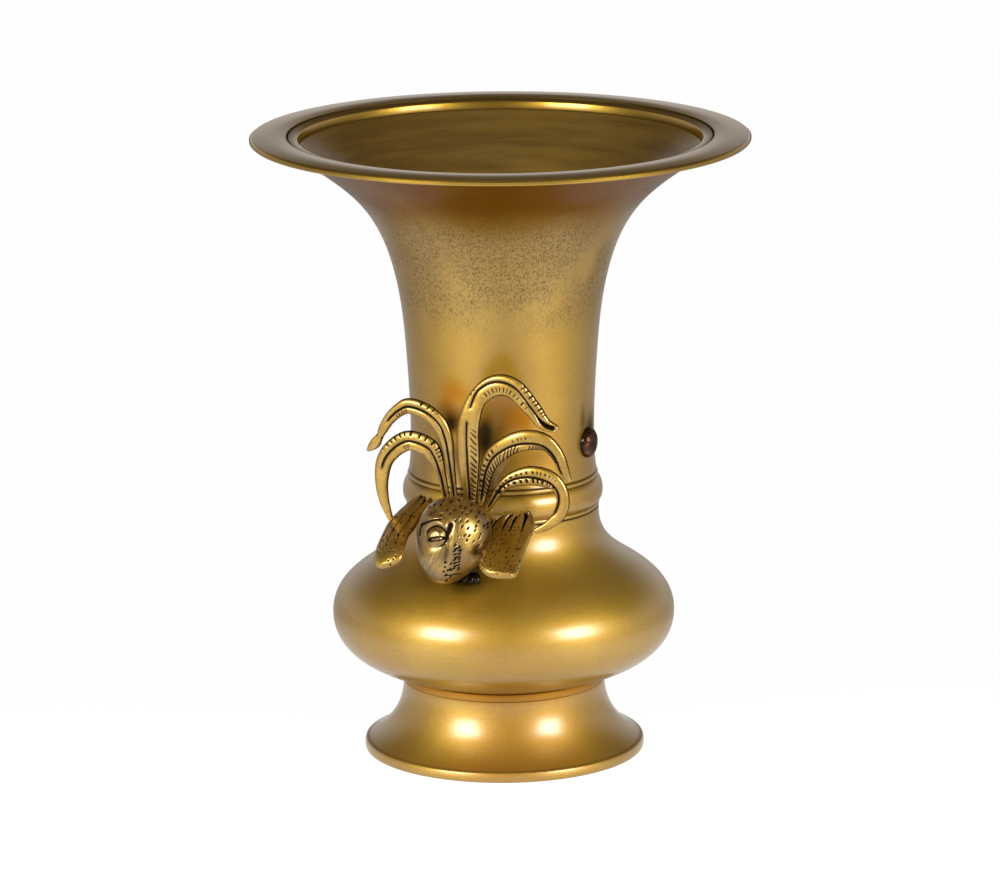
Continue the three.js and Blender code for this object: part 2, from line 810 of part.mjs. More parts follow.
function plumeGeometry(points, grow = 0) {
  const roots = plumeFanReach / birdScale;
  const middle = new THREE.CatmullRomCurve3(points.map(([x, up, out]) => drawn(x, up, roots + out)));
  const rings = [];
  for (let i = 0; i <= plumeSteps; i++) {
    const t = i / plumeSteps;
    const [k, rest] = [Math.floor(t * (points.length - 1)), (t * (points.length - 1)) % 1];
    const next = points[k + 1] ?? points[k];
    const wide = birdScale * THREE.MathUtils.lerp(points[k][3], next[3], rest);
    const along = middle.getTangent(t);
    const outwards = new THREE.Vector3(0, -1, 0).addScaledVector(along, along.y).normalize();
    const side = along.clone().cross(outwards).normalize();
    const thick = Math.min(plumeThickness, 2 * wide) / 2 + 0.25 * plumeThickness;
    rings.push(
      plumeSection.map(([across, out]) => {
        const filled = grow > 0 && across === 0 ? 0.5 : out;
        return middle
          .getPoint(t)
          .addScaledVector(side, across * (wide + grow))
          .addScaledVector(outwards, filled * thick + Math.sign(out) * grow);
      }),
    );
  }
  const stretch = middle.getTangent(1).multiplyScalar(grow);
  rings.at(-1).forEach((p) => p.add(stretch));
  return loft(rings);
}

// Body behind the head, seated against the collar.
function bodyGeometry(grow = 0) {
  const middle = drawn(-2, -13.5, bodyOut);
  const lump = new THREE.SphereGeometry(1, 14, 10);
  lump.scale(bodyWidth / 2 + grow, bodyLength / 2 + grow, bodyHeight / 2 + grow);
  lump.translate(middle.x, middle.y, middle.z);
  return lump;
}

// Everything within gap of the turned pieces behind the bird, filled to the axis.
function vaseClearance(gap) {
  const grown = (path) => offsetPath(path, -gap);
  const outline = [
    ...grown(bellyOutline()),
    ...grown([...collarOutline().slice(1, -1)]),
    ...grown(neckOutline()).filter((p) => p.y < neckBase + neckFlareHeight && p.y > neckBase + 1),
  ];
  const tall = outline.filter((p, i) => i === 0 || p.y > outline[i - 1].y);
  return toSolid(turn([point(0, tall[0].y), ...tall, point(0, tall.at(-1).y)]));
}

// A foot of the bird: a leg from under the body and three toes on the shoulder of the belly.
function clawGeometry(side) {
  const standing = levelAt(bellyOutline(), collarRadius + legReach) - collarTop;
  const across = clawAside + side * clawSpread;
  const ankle = place(across, standing + 1.8 * clawRadius, legReach);
  const hip = place(across - 0.1 * side * clawSpread, standing + legLength, legReach - 1);
  const sole = standing - 0.4 * clawRadius;
  const toes = [-1, 0, 1].map((turn) => {
    const reach = (2.3 - 0.5 * turn ** 2) * clawRadius;
    return place(across + 1.6 * turn * clawRadius, sole, legReach + reach);
  });
  const bones = [[hip, ankle, legRadius], ...toes.map((toe) => [ankle, toe, clawRadius])];
  return bones
    .map(([from, to, radius]) => toSolid(boneGeometry(from, to, radius)))
    .reduce((sum, bone) => sum.add(bone));
}

function boneGeometry(from, to, radius) {
  const bone = new THREE.CapsuleGeometry(radius, from.distanceTo(to), 2, 7);
  bone.applyQuaternion(
    new THREE.Quaternion().setFromUnitVectors(new THREE.Vector3(0, 1, 0), to.clone().sub(from).normalize()),
  );
  const middle = from.clone().lerp(to, 0.5);
  bone.translate(middle.x, middle.y, middle.z);
  return bone;
}

// The height at which the shoulder of the belly has a radius.
function levelAt(path, radius) {
  const shoulder = path.filter((p) => p.y > bellyBase + bellyWidestHeight);
  const i = shoulder.findIndex((p) => p.x <= radius);
  const [low, high] = [shoulder[i - 1], shoulder[i]];
  return low.y + ((low.x - radius) / (low.x - high.x)) * (high.y - low.y);
}

// Assembly: the turned pieces

const spigotBore = neckSpigotRadius - neckWall;
const rivetLevel = collarTop + rivetHeight;
const studLevel = collarTop - studDrop;
const neckBoreAtRivet = radiusAt(neckInside(), rivetLevel);
const rivetHole = shankHole(rivetShankRadius, rivetAzimuth, rivetLevel, collarRadius);
const studHole = shankHole(studRadius, 0, studLevel, collarRadius + studReach);

addPiece("foot", footGeometry(), brass);
addPiece("base_disc", baseDiscGeometry(), darkBrass);
addPiece("belly", bellyGeometry(), brass);
addPiece("collar", toGeometry(toSolid(collarGeometry()).subtract(studHole)), brass);
addPiece("neck", toGeometry(toSolid(neckGeometry()).subtract(studHole).subtract(rivetHole)), brass);
addPiece("rim_flange", rimGeometry(), brass);
addPiece("mouth_ring", mouthRingGeometry(), brass);

// Assembly: the rivet, the stud and their washers

addPiece(
  "side_rivet",
  placedAt(rivetGeometry(neckBoreAtRivet, rivetLevel), rivetAzimuth, rivetLevel),
  copper,
);
addPiece(
  "rivet_rove",
  roveGeometry(neckBoreAtRivet, rivetShankRadius, rivetAzimuth, rivetLevel),
  copper,
);
addPiece("bird_stud", placedAt(studGeometry(spigotBore), 0, studLevel), darkBrass);
addPiece("stud_rove", roveGeometry(spigotBore, studRadius, 0, studLevel), darkBrass);

// Assembly: the bird, each piece cut clear of those that it seats on

const clearance = vaseClearance(fitGap);
const headRoom = toSolid(headGeometry(fitGap));
addPiece("bird_head", toGeometry(toSolid(headGeometry()).subtract(studHole)), castBrass);

const wingBlank = (wing, grow = 0) => toSolid(wingGeometry(wing, grow)).add(toSolid(wingPeg(wing, grow)));
const wings = {
  right_wing: wingBlank(rightWing),
  left_wing: wingBlank(leftWing).add(toSolid(wingStay())),
};
for (const [name, wing] of Object.entries(wings)) {
  addPiece(name, toGeometry(wing.subtract(headRoom).subtract(clearance)), castBrass);
}

let taken = wingBlank(rightWing, fitGap).add(wingBlank(leftWing, fitGap)).add(clearance).add(studHole);
for (const name of Object.keys(plumes)) {
  const plume = toSolid(plumeGeometry(plumes[name])).subtract(taken).subtract(headRoom);
  addPiece(name, toGeometry(plume), castBrass);
  taken = taken.add(toSolid(plumeGeometry(plumes[name], fitGap)));
}

const claws = { left_claw: clawGeometry(-1), right_claw: clawGeometry(1) };
const body = toSolid(bodyGeometry()).subtract(taken).subtract(headRoom).subtract(studHole);
addPiece("bird_body", toGeometry(body), castBrass);
const bodyRoom = toSolid(bodyGeometry(fitGap));
for (const [name, claw] of Object.entries(claws)) {
  addPiece(name, toGeometry(claw.subtract(clearance).subtract(bodyRoom).subtract(headRoom)), darkBrass);
}

export default vase;
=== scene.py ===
# A brass vase with a cast bird on its neck: the looks of every piece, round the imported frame.
# Sizes and places are in millimetres until a mesh is made. +Z is up, and the bird faces -Y.

import math

import bmesh
import bpy
import numpy as np
from mathutils import Matrix, Vector


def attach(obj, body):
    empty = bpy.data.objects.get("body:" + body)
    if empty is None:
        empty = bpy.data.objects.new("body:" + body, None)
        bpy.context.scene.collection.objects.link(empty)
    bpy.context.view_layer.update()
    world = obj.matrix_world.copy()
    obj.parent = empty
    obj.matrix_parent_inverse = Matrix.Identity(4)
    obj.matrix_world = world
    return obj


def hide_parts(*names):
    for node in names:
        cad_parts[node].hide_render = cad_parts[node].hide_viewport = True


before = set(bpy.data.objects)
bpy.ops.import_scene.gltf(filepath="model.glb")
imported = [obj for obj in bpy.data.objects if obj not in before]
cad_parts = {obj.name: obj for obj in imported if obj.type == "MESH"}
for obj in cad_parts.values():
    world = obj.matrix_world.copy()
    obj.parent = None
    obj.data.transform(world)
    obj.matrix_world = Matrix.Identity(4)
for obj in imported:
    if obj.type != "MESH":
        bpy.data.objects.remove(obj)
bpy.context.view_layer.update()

MM = 0.001
BODY = "root"

# Camera, worked out from the rim's and the foot's outlines in the photograph; angles are in radians
IMAGE_WIDTH = 1000
FOCAL_PIXELS = 5674.7
SENSOR = 36.0
CAMERA_TURN = math.radians(17)  # from the bird's side towards +X
CAMERA_PITCH = 0.2332
CAMERA_ROLL = -0.0074
CAMERA_DISTANCE = 2199.8
CAMERA_HEIGHT = 649.7
CAMERA_SHIFT = -0.97

# Levels of the turned pieces
FOOT_TOP = 31.6
BELLY_BASE = 31.9
BELLY_WIDEST = 56.5
BELLY_SHOULDER = 77.0
BELLY_TOP = 99.7
COLLAR_BASE = 100.0
COLLAR_TOP = 114.0
NECK_BASE = 114.3
NECK_WAIST = 131.0
NECK_FLARE = 180.0
NECK_TOP = 246.8
RIM_BASE = 247.1
RIM_TOP = 250.0

# Radii of the turned pieces
FOOT_RADIUS = 56.3
FOOT_NECK = 40.35
FOOT_RING = 50.1
FOOT_BORE = 37.75
BELLY_RADIUS = 68.4
BELLY_NECK = 38.3
BELLY_WALL = 2.4
COLLAR_RADIUS = 39.9
NECK_RADIUS = 36.5
NECK_LIP = 85.85
RIM_RADIUS = 98.8
RIM_ROUND = 9.0
RIM_DISH = 0.3
MOUTH_RADIUS = 84.0
BEVEL_RADIUS = 79.0
WALL = 2.2

TURN_STEPS = 256
HEAD_SEED = 7

# Room and floor: how bright the room is half way up, its tints there and at the horizon, the floor's
# half size in metres, and where the lamps light it most, in metres to the photo's right and away from it
DARK_ROOM = 0.13
DARK_ROOM_TINT = (1.03, 0.92, 0.7, 1)
PALE_ROOM_TINT = (1.0, 0.99, 0.97, 1)
FLOOR_HALF = 40.0
FLOOR_DIM = (0.55, 0.545, 0.535, 1)
LIGHT_POOLS = ((-0.16, -0.17), (0.18, -0.15))


# Camera and light


def add_camera():
    data = bpy.data.cameras.new("camera")
    data.sensor_fit = "HORIZONTAL"
    data.sensor_width = SENSOR
    data.lens = FOCAL_PIXELS / IMAGE_WIDTH * SENSOR
    data.clip_start = 0.1
    data.clip_end = 100
    camera = bpy.data.objects.new("camera", data)
    place = Vector((CAMERA_SHIFT, -CAMERA_DISTANCE, CAMERA_HEIGHT)) * MM
    turn = Matrix.Rotation(CAMERA_TURN, 4, "Z")
    pitch = Matrix.Rotation(math.pi / 2 - CAMERA_PITCH, 4, "X")
    roll = Matrix.Rotation(CAMERA_ROLL, 4, "Z")
    camera.matrix_world = turn @ Matrix.Translation(place) @ pitch @ roll
    bpy.context.scene.collection.objects.link(camera)
    bpy.context.scene.camera = camera


def add_soft_box(name, azimuth, elevation, distance, size, radiance):
    """A square lamp that looks at the belly; azimuth is counted from the photo's side, to its right."""
    data = bpy.data.lights.new(name, "AREA")
    data.shape = "SQUARE"
    data.size = size
    data.energy = radiance * math.pi * size * size
    lamp = bpy.data.objects.new(name, data)
    angle = math.radians(azimuth) + CAMERA_TURN
    rise = math.radians(elevation)
    away = Vector((math.sin(angle) * math.cos(rise), -math.cos(angle) * math.cos(rise), math.sin(rise)))
    aim = Vector((0, 0, BELLY_WIDEST * MM))
    lamp.location = aim + away * distance
    lamp.rotation_euler = away.to_track_quat("Z", "Y").to_euler()
    bpy.context.scene.collection.objects.link(lamp)


# Node helpers


class Nodes:
    """Short calls that add and join shader nodes in one tree, which is emptied first."""

    def __init__(self, tree):
        self.nodes = tree.nodes
        self.links = tree.links
        self.nodes.clear()

    def add(self, kind, **settings):
        node = self.nodes.new(kind)
        for name, value in settings.items():
            setattr(node, name, value)
        return node

    def join(self, source, socket):
        """A plain value is set on the socket itself."""
        if isinstance(source, (int, float, tuple)):
            socket.default_value = source
        else:
            self.links.new(source, socket)

    def fill(self, node, sockets):
        for name, source in sockets.items():
            self.join(source, node.inputs[name])
        return node

    def math(self, operation, a, b=0.0, clamp=False):
        node = self.add("ShaderNodeMath", operation=operation, use_clamp=clamp)
        self.join(a, node.inputs[0])
        self.join(b, node.inputs[1])
        return node.outputs[0]

    def plus(self, a, b, clamp=False):
        return self.math("ADD", a, b, clamp)

    def minus(self, a, b, clamp=False):
        return self.math("SUBTRACT", a, b, clamp)

    def times(self, a, b, clamp=False):
        return self.math("MULTIPLY", a, b, clamp)

    def ramp(self, value, low, high, to_low=0.0, to_high=1.0):
        """Smooth change of a value between two limits."""
        node = self.add("ShaderNodeMapRange", interpolation_type="SMOOTHSTEP")
        limits = {"From Min": low, "From Max": high, "To Min": to_low, "To Max": to_high}
        return self.fill(node, {"Value": value, **limits}).outputs["Result"]

    def mix(self, share, a, b):
        """Mix of two colours, which are sockets 6 and 7 of the node."""
        node = self.add("ShaderNodeMix", data_type="RGBA")
        self.join(share, node.inputs[0])
        self.join(a, node.inputs[6])
        self.join(b, node.inputs[7])
        return node.outputs[2]

    def noise(self, place, scale, detail=3.0, roughness=0.55, distortion=0.0):
        look = {"Scale": scale, "Detail": detail, "Roughness": roughness, "Distortion": distortion}
        return self.fill(self.add("ShaderNodeTexNoise"), {"Vector": place, **look}).outputs["Fac"]

    def coordinates(self, kind):
        return self.add("ShaderNodeTexCoord").outputs[kind]

    def attribute(self, name):
        return self.add("ShaderNodeAttribute", attribute_name=name).outputs["Fac"]

    def photo_axes(self, place):
        """A place split into right, away and up as the photo sees the vase; it doesn't follow the camera."""
        turned = self.add("ShaderNodeVectorRotate", rotation_type="Z_AXIS")
        self.fill(turned, {"Vector": place, "Angle": -CAMERA_TURN})
        split = self.add("ShaderNodeSeparateXYZ")
        self.join(turned.outputs[0], split.inputs[0])
        return split.outputs


def add_world():
    """A plain room: bright at the horizon, most of all behind the vase, and darkest half way up."""
    world = bpy.data.worlds.new("room")
    world.use_nodes = True
    bpy.context.scene.world = world
    n = Nodes(world.node_tree)
    right, away, up = n.photo_axes(n.coordinates("Generated"))
    front = n.ramp(up, 0.1, 0.5, 0.55, DARK_ROOM)
    back = n.ramp(up, 0.2, 0.58, 0.8, DARK_ROOM)
    straight_back = n.ramp(up, 0.14, 0.3, 0.9, 0.1)
    straight = n.ramp(n.math("ABSOLUTE", right), 0.16, 0.36, 1.0, 0.0)
    back = n.plus(back, n.times(straight, n.minus(straight_back, back)))
    turned_away = n.ramp(away, -0.2, 0.4)
    level = n.plus(front, n.times(turned_away, n.minus(back, front)))
    ceiling = n.ramp(up, 0.8, 0.97, 0.0, 0.16)
    level = n.plus(level, ceiling)
    tint = n.mix(n.ramp(level, 0.15, 0.6), DARK_ROOM_TINT, PALE_ROOM_TINT)
    background = n.add("ShaderNodeBackground")
    n.join(n.mix(level, (0, 0, 0, 1), tint), background.inputs["Color"])
    n.join(background.outputs[0], n.add("ShaderNodeOutputWorld").inputs["Surface"])


def empty_material(name):
    material = bpy.data.materials.new(name)
    material.use_nodes = True
    return material, Nodes(material.node_tree)


def floor_material():
    """White to the view; reflections see it dimmer to the sides, and brighter where the lamps light it."""
    material, n = empty_material("floor")
    right, away, _ = n.photo_axes(n.coordinates("Object"))
    aside = n.math("ABSOLUTE", right)
    before = n.times(away, -1)
    beside = n.times(n.ramp(aside, 0.28, 0.5), n.ramp(before, -0.7, 0.0))
    dim = n.math("MAXIMUM", beside, n.ramp(before, 0.7, 1.4, 0.0, 0.5))
    dim = n.math("MAXIMUM", dim, n.ramp(away, 0.06, 0.2, 0.0, 1.0))
    path = n.add("ShaderNodeLightPath")
    for_view = path.outputs["Is Camera Ray"]
    dim = n.times(dim, n.minus(1.0, for_view))
    colour = n.mix(dim, (1, 1, 1, 1), FLOOR_DIM)
    pools = 1.0
    for pool_right, pool_away in LIGHT_POOLS:
        from_right = n.minus(right, pool_right)
        from_away = n.minus(away, pool_away)
        distance = n.math("SQRT", n.plus(n.times(from_right, from_right), n.times(from_away, from_away)))
        pools = n.plus(pools, n.ramp(distance, 0.03, 0.24, 0.55, 0.0))
    glow = n.fill(n.add("ShaderNodeEmission"), {"Color": colour, "Strength": pools})
    matt = n.fill(n.add("ShaderNodeBsdfDiffuse"), {"Color": colour})
    seen = n.plus(for_view, path.outputs["Is Glossy Ray"], clamp=True)
    seen = n.plus(seen, path.outputs["Is Transmission Ray"], clamp=True)
    both = n.add("ShaderNodeMixShader")
    n.join(n.times(seen, 0.985), both.inputs[0])
    n.join(matt.outputs[0], both.inputs[1])
    n.join(glow.outputs[0], both.inputs[2])
    n.join(both.outputs[0], n.add("ShaderNodeOutputMaterial").inputs["Surface"])
    return material


def add_floor():
    mesh = bpy.data.meshes.new("floor")
    corners = [(x * FLOOR_HALF, y * FLOOR_HALF, 0) for x, y in ((-1, -1), (1, -1), (1, 1), (-1, 1))]
    mesh.from_pydata(corners, [], [(0, 1, 2, 3)])
    mesh.materials.append(floor_material())
    floor = bpy.data.objects.new("floor", mesh)
    bpy.context.scene.collection.objects.link(floor)


# Materials

# The brown stain, rim stain, soot and dark patina colours are stains and patina, and they also serve as
# painted shade.
GOLD = (0.44, 0.265, 0.026, 1)
DEEP_GOLD = (0.38, 0.21, 0.014, 1)
CAST_GOLD = (0.47, 0.29, 0.045, 1)
WARM_STAIN = (0.44, 0.21, 0.03, 1)
BROWN_STAIN_AND_SHADE = (0.20, 0.125, 0.035, 1)
DARK_STAIN = (0.13, 0.07, 0.008, 1)
ORANGE_STAIN = (0.40, 0.155, 0.008, 1)
RIM_STAIN_AND_SHADE = (0.19, 0.075, 0.006, 1)
DARK_PATINA_AND_SHADE = (0.035, 0.024, 0.012, 1)
SOOT_AND_SHADE = (0.012, 0.008, 0.004, 1)
COPPER = (0.05, 0.02, 0.01, 1)
WORN_COPPER = (0.2, 0.075, 0.035, 1)
EDGE_TINT = (0.42, 0.38, 0.35, 1)
RIM_EDGE_TINT = (0.6, 0.5, 0.38, 1)
GRAIN_SCALE = 1500


def start_material(name, edge_tint=EDGE_TINT, coat=1.0, coat_roughness=0.26):
    """A metal under a clear lacquer, with its node tree and its shader."""
    material, n = empty_material(name)
    shader = n.add("ShaderNodeBsdfPrincipled")
    n.fill(shader, {"Metallic": 1.0, "Specular Tint": edge_tint})
    n.fill(shader, {"Coat Weight": coat, "Coat Roughness": coat_roughness, "Coat IOR": 1.6})
    n.join(shader.outputs[0], n.add("ShaderNodeOutputMaterial").inputs["Surface"])
    return material, n, shader


def add_bump(n, shader, layers):
    """Layers are (height, depth in metres), the finest last."""
    normal = None
    for height, depth in layers:
        bump = n.fill(n.add("ShaderNodeBump"), {"Strength": 1.0, "Distance": depth, "Height": height})
        if normal is not None:
            n.join(normal, bump.inputs["Normal"])
        normal = bump.outputs["Normal"]
    n.join(normal, shader.inputs["Normal"])


def round_place(n, place, stretch):
    """A place drawn out along the turning marks, and its level."""
    split = n.add("ShaderNodeSeparateXYZ")
    n.join(place, split.inputs[0])
    x, y, z = split.outputs
    radius = n.math("SQRT", n.plus(n.times(x, x), n.times(y, y)))
    angle = n.math("ARCTAN2", y, x)
    together = n.add("ShaderNodeCombineXYZ")
    n.fill(together, {"X": n.times(angle, 0.04 / stretch), "Y": z, "Z": radius})
    return together.outputs[0], z


def pits(n, place, scale, size, share):
    """Scattered round specks: their centres lie about 1/scale apart, and only a share of them shows."""
    cells = n.fill(n.add("ShaderNodeTexVoronoi"), {"Vector": place, "Scale": scale})
    near = n.ramp(cells.outputs["Distance"], size * scale * 0.5, size * scale, 1.0, 0.0)
    pick = n.add("ShaderNodeSeparateColor")
    n.join(cells.outputs["Color"], pick.inputs[0])
    shown = n.math("LESS_THAN", pick.outputs[0], share)
    return n.times(near, shown)


def add_neck_wear_and_shade(n, place, level, cloud, speckle, colour, lacquer, dark):
    """Orange stains by the plumes, a brown stain with painted shade under the rim, and a hazy band of
    worm-like specks.
    """
    warmth = n.times(n.attribute("warmth"), n.ramp(cloud, 0.2, 0.6, 0.5, 1.0))
    colour = n.mix(warmth, colour, ORANGE_STAIN)
    lacquer = n.minus(lacquer, n.times(warmth, 0.8))
    # Under the rim the neck turns brown: partly a stain, partly painted shade.
    under_rim = n.plus(n.ramp(level, 0.19, 0.212, 0.0, 0.2), n.ramp(level, 0.212, 0.233, 0.0, 0.8))
    under_rim_stain_and_shade = n.times(under_rim, n.plus(0.65, n.times(cloud, 0.7)), clamp=True)
    colour = n.mix(under_rim_stain_and_shade, colour, RIM_STAIN_AND_SHADE)
    lacquer = n.minus(lacquer, n.times(under_rim_stain_and_shade, 0.9))
    upright = n.fill(n.add("ShaderNodeMapping"), {"Vector": place, "Scale": (1.0, 1.0, 0.4)})
    worms = n.ramp(n.noise(upright.outputs[0], 1900, 2.0, 0.6, 0.4), 0.48, 0.62)
    patch = n.ramp(n.noise(place, 34, 3.0), 0.3, 0.55)
    band = n.times(n.ramp(level, 0.168, 0.192), n.ramp(level, 0.216, 0.238, 1.0, 0.0))
    in_front = n.ramp(n.photo_axes(place)["Y"], -0.018, 0.0, 1.0, 0.15)
    spots = n.times(n.times(worms, patch), n.times(band, in_front))
    colour = n.mix(n.times(n.times(patch, band), 0.35), colour, BROWN_STAIN_AND_SHADE)
    dark = n.math("MAXIMUM", dark, n.times(spots, speckle))
    return colour, lacquer, dark


def turned_brass(name, speckle=0.0, warm=0.3, dull_and_shade=0.0, roughness=0.53, coat=1.0, **start):
    """Satin lacquered brass with turning marks, a fine grain, stains, specks, dark joints and some painted
    shade.
    """
    material, n, shader = start_material(name, **start)
    tangent = n.add("ShaderNodeTangent", direction_type="RADIAL", axis="Z").outputs[0]
    n.fill(shader, {"Anisotropic": 0.2, "Anisotropic Rotation": 0.25, "Tangent": tangent})
    place = n.coordinates("Object")
    drawn, level = round_place(n, place, 5.0)
    grain = n.noise(place, GRAIN_SCALE, 2.0)
    marks = n.noise(drawn, GRAIN_SCALE, 3.0)
    cloud = n.noise(place, 22, 4.0, 0.6)
    wide = n.noise(place, 9, 2.0)
    colour = n.mix(n.ramp(cloud, 0.35, 0.7), GOLD, DEEP_GOLD)
    colour = n.mix(n.times(n.ramp(wide, 0.5, 0.72), warm, clamp=True), colour, WARM_STAIN)
    # Inside, the brown is partly tarnish and partly painted shade.
    colour = n.mix(dull_and_shade, colour, BROWN_STAIN_AND_SHADE)
    if dull_and_shade > 0:
        mottle = n.noise(drawn, 90, 4.0, 0.65)
        colour = n.mix(n.ramp(mottle, 0.42, 0.62, 0.0, 0.6), colour, DARK_STAIN)
    colour = n.mix(n.times(n.ramp(grain, 0.42, 0.72), 0.32), colour, BROWN_STAIN_AND_SHADE)
    colour = n.mix(n.times(n.ramp(marks, 0.5, 0.75), 0.16 + 0.6 * dull_and_shade), colour, BROWN_STAIN_AND_SHADE)
    from_joint = n.math("ABSOLUTE", n.minus(level, BELLY_BASE * MM))
    at_joint = n.ramp(from_joint, 0.0005, 0.006, 0.7, 0.0)
    colour = n.mix(at_joint, colour, ORANGE_STAIN)
    lacquer = n.minus(coat - dull_and_shade, n.times(at_joint, 1.2), clamp=True)
    dark = n.math("MAXIMUM", n.attribute("grime_and_shade"), pits(n, place, 47, 0.0009, 0.25))
    if speckle > 0:
        colour, lacquer, dark = add_neck_wear_and_shade(n, place, level, cloud, speckle, colour, lacquer, dark)
    # Dark patina, and on the neck painted shade beside the plumes' roots.
    colour = n.mix(n.times(dark, 0.9, clamp=True), colour, DARK_PATINA_AND_SHADE)
    if speckle > 0 or dull_and_shade > 0:
        slant = n.add("ShaderNodeLayerWeight").outputs["Facing"]
        lacquer = n.plus(n.math("MAXIMUM", lacquer, 0.0), n.ramp(slant, 0.55, 0.8, 0.0, 0.5), clamp=True)
    lacquer = n.minus(lacquer, n.times(dark, 0.9), clamp=True)
    rough = n.plus(roughness + 0.1 * dull_and_shade, n.times(cloud, 0.08))
    rough = n.plus(rough, n.times(dark, 0.25), clamp=True)
    n.fill(shader, {"Base Color": colour, "Coat Weight": lacquer, "Roughness": rough})
    clean = n.minus(1.0, dark)
    add_bump(n, shader, [(wide, 0.0006), (marks, 0.000012), (grain, 0.000012), (clean, 0.00005)])
    return material


def cast_brass(name):
    """Cast and chased brass: bright on what stands out, dark in every cut, and painted with shade behind and
    between its pieces.
    """
    material, n, shader = start_material(name, coat_roughness=0.2)
    place = n.coordinates("Object")
    grain = n.noise(place, 1400, 3.0)
    cloud = n.noise(place, 120, 4.0, 0.6)
    wide = n.noise(place, 45, 3.0)
    colour = n.mix(n.ramp(cloud, 0.35, 0.65), CAST_GOLD, DEEP_GOLD)
    colour = n.mix(n.times(n.ramp(wide, 0.5, 0.75), 0.4), colour, WARM_STAIN)
    colour = n.mix(n.times(n.ramp(grain, 0.45, 0.7), 0.35), colour, BROWN_STAIN_AND_SHADE)
    # A piece's darkness turns it to a brown film and then near black: dirt in the cuts, and painted shade on
    # the backs and between the bird's pieces.
    edge = n.plus(n.attribute("grime_and_shade"), n.times(n.minus(cloud, 0.5), 0.6))
    film_and_shade = n.times(n.ramp(edge, 0.0, 0.42), 0.9)
    colour = n.mix(film_and_shade, colour, BROWN_STAIN_AND_SHADE)
    deep = n.ramp(edge, 0.32, 0.7)
    colour = n.mix(n.times(deep, 0.98), colour, SOOT_AND_SHADE)
    lacquer = n.times(n.minus(1.0, deep), 0.8)
    rough = n.plus(n.plus(0.37, n.times(cloud, 0.16)), n.times(deep, 0.3), clamp=True)
    n.fill(shader, {"Base Color": colour, "Coat Weight": lacquer, "Roughness": rough})
    add_bump(n, shader, [(cloud, 0.0003), (grain, 0.00003)])
    return material


def dark_metal(name, base, worn, roughness):
    """Tarnished metal, rubbed bright in patches."""
    material, n, shader = start_material(name, coat=0.25, coat_roughness=0.15)
    place = n.coordinates("Object")
    cloud = n.noise(place, 260, 4.0, 0.6)
    grain = n.noise(place, 1600, 2.0)
    colour = n.mix(n.ramp(cloud, 0.45, 0.68), base, worn)
    dark = n.math("MAXIMUM", n.attribute("grime_and_shade"), n.ramp(grain, 0.62, 0.75))
    colour = n.mix(n.times(dark, 0.8, clamp=True), colour, DARK_PATINA_AND_SHADE)
    rough = n.plus(roughness - 0.06, n.times(cloud, 0.16))
    n.fill(shader, {"Base Color": colour, "Roughness": rough})
    add_bump(n, shader, [(cloud, 0.0003), (grain, 0.00002)])
    return material


# Meshes


def set_attribute(mesh, name, values):
    values = np.clip(np.asarray(values), 0, 1).astype(np.float32)
    mesh.attributes.new(name, "FLOAT", "POINT").data.foreach_set("value", values)


def make_piece(name, node, slot, material, corners, faces, grime_and_shade=None, crease=40):
    """A closed mesh from corners in millimetres; a darkness from 0 to 1 at each corner darkens its cuts and
    paints shade where it falls.
    """
    mesh = bpy.data.meshes.new(name)
    mesh.from_pydata((np.asarray(corners) * MM).tolist(), [], faces)
    set_attribute(mesh, "grime_and_shade", np.zeros(len(corners)) if grime_and_shade is None else grime_and_shade)
    shaped = bmesh.new()
    shaped.from_mesh(mesh)
    bmesh.ops.recalc_face_normals(shaped, faces=shaped.faces)
    shaped.to_mesh(mesh)
    shaped.free()
    mesh.shade_smooth()
    mesh.set_sharp_from_angle(angle=math.radians(crease))
    mesh.materials.append(material)
    piece = bpy.data.objects.new(name, mesh)
    bpy.context.scene.collection.objects.link(piece)
    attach(piece, BODY)
    if node:
        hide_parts(node)
    return piece


def ring_faces(rings, around, closed=False):
    """Quads between rings of corners; closed joins the last ring to the first."""
    faces = []
    for i in range(rings if closed else rings - 1):
        a, b = i * around, (i + 1) % rings * around
        for j in range(around):
            k = (j + 1) % around
            faces.append((a + j, a + k, b + k, b + j))
    return faces


def bezier(a, b, c, d, steps=24):
    t = np.linspace(0, 1, steps + 1)[:, None]
    a, b, c, d = (np.array(p, float) for p in (a, b, c, d))
    points = (1 - t) ** 3 * a + 3 * (1 - t) ** 2 * t * b + 3 * (1 - t) * t**2 * c + t**3 * d
    return [tuple(p) for p in points]


def rounded(corners, steps=5):
    """A path of (radius, level, cut): each corner is rounded off from cut before it to cut past it."""
    path = []
    for i, (r, z, cut) in enumerate(corners):
        here = np.array((r, z), float)
        if cut == 0:
            path.append(tuple(here))
            continue
        before = np.array(corners[i - 1][:2], float) - here
        after = np.array(corners[(i + 1) % len(corners)][:2], float) - here
        start = here + before / np.linalg.norm(before) * cut
        end = here + after / np.linalg.norm(after) * cut
        for t in np.linspace(0, 1, steps + 1):
            path.append(tuple((1 - t) ** 2 * start + 2 * t * (1 - t) * here + t**2 * end))
    return path


def grid(rows, around):
    """The value of each ring and the turn of each corner round it, as two arrays of one shape."""
    turn = np.linspace(0, 2 * math.pi, around, endpoint=False)
    return np.meshgrid(rows, turn, indexing="ij")


def lathe(outline):
    """Corners and faces of a closed outline turned about the vase's axis."""
    path = np.array(outline, float)
    radius, angle = grid(path[:, 0], TURN_STEPS)
    level = np.repeat(path[:, None, 1], TURN_STEPS, axis=1)
    corners = np.stack([radius * np.cos(angle), radius * np.sin(angle), level], axis=-1)
    return corners.reshape(-1, 3), ring_faces(len(path), TURN_STEPS, closed=True)


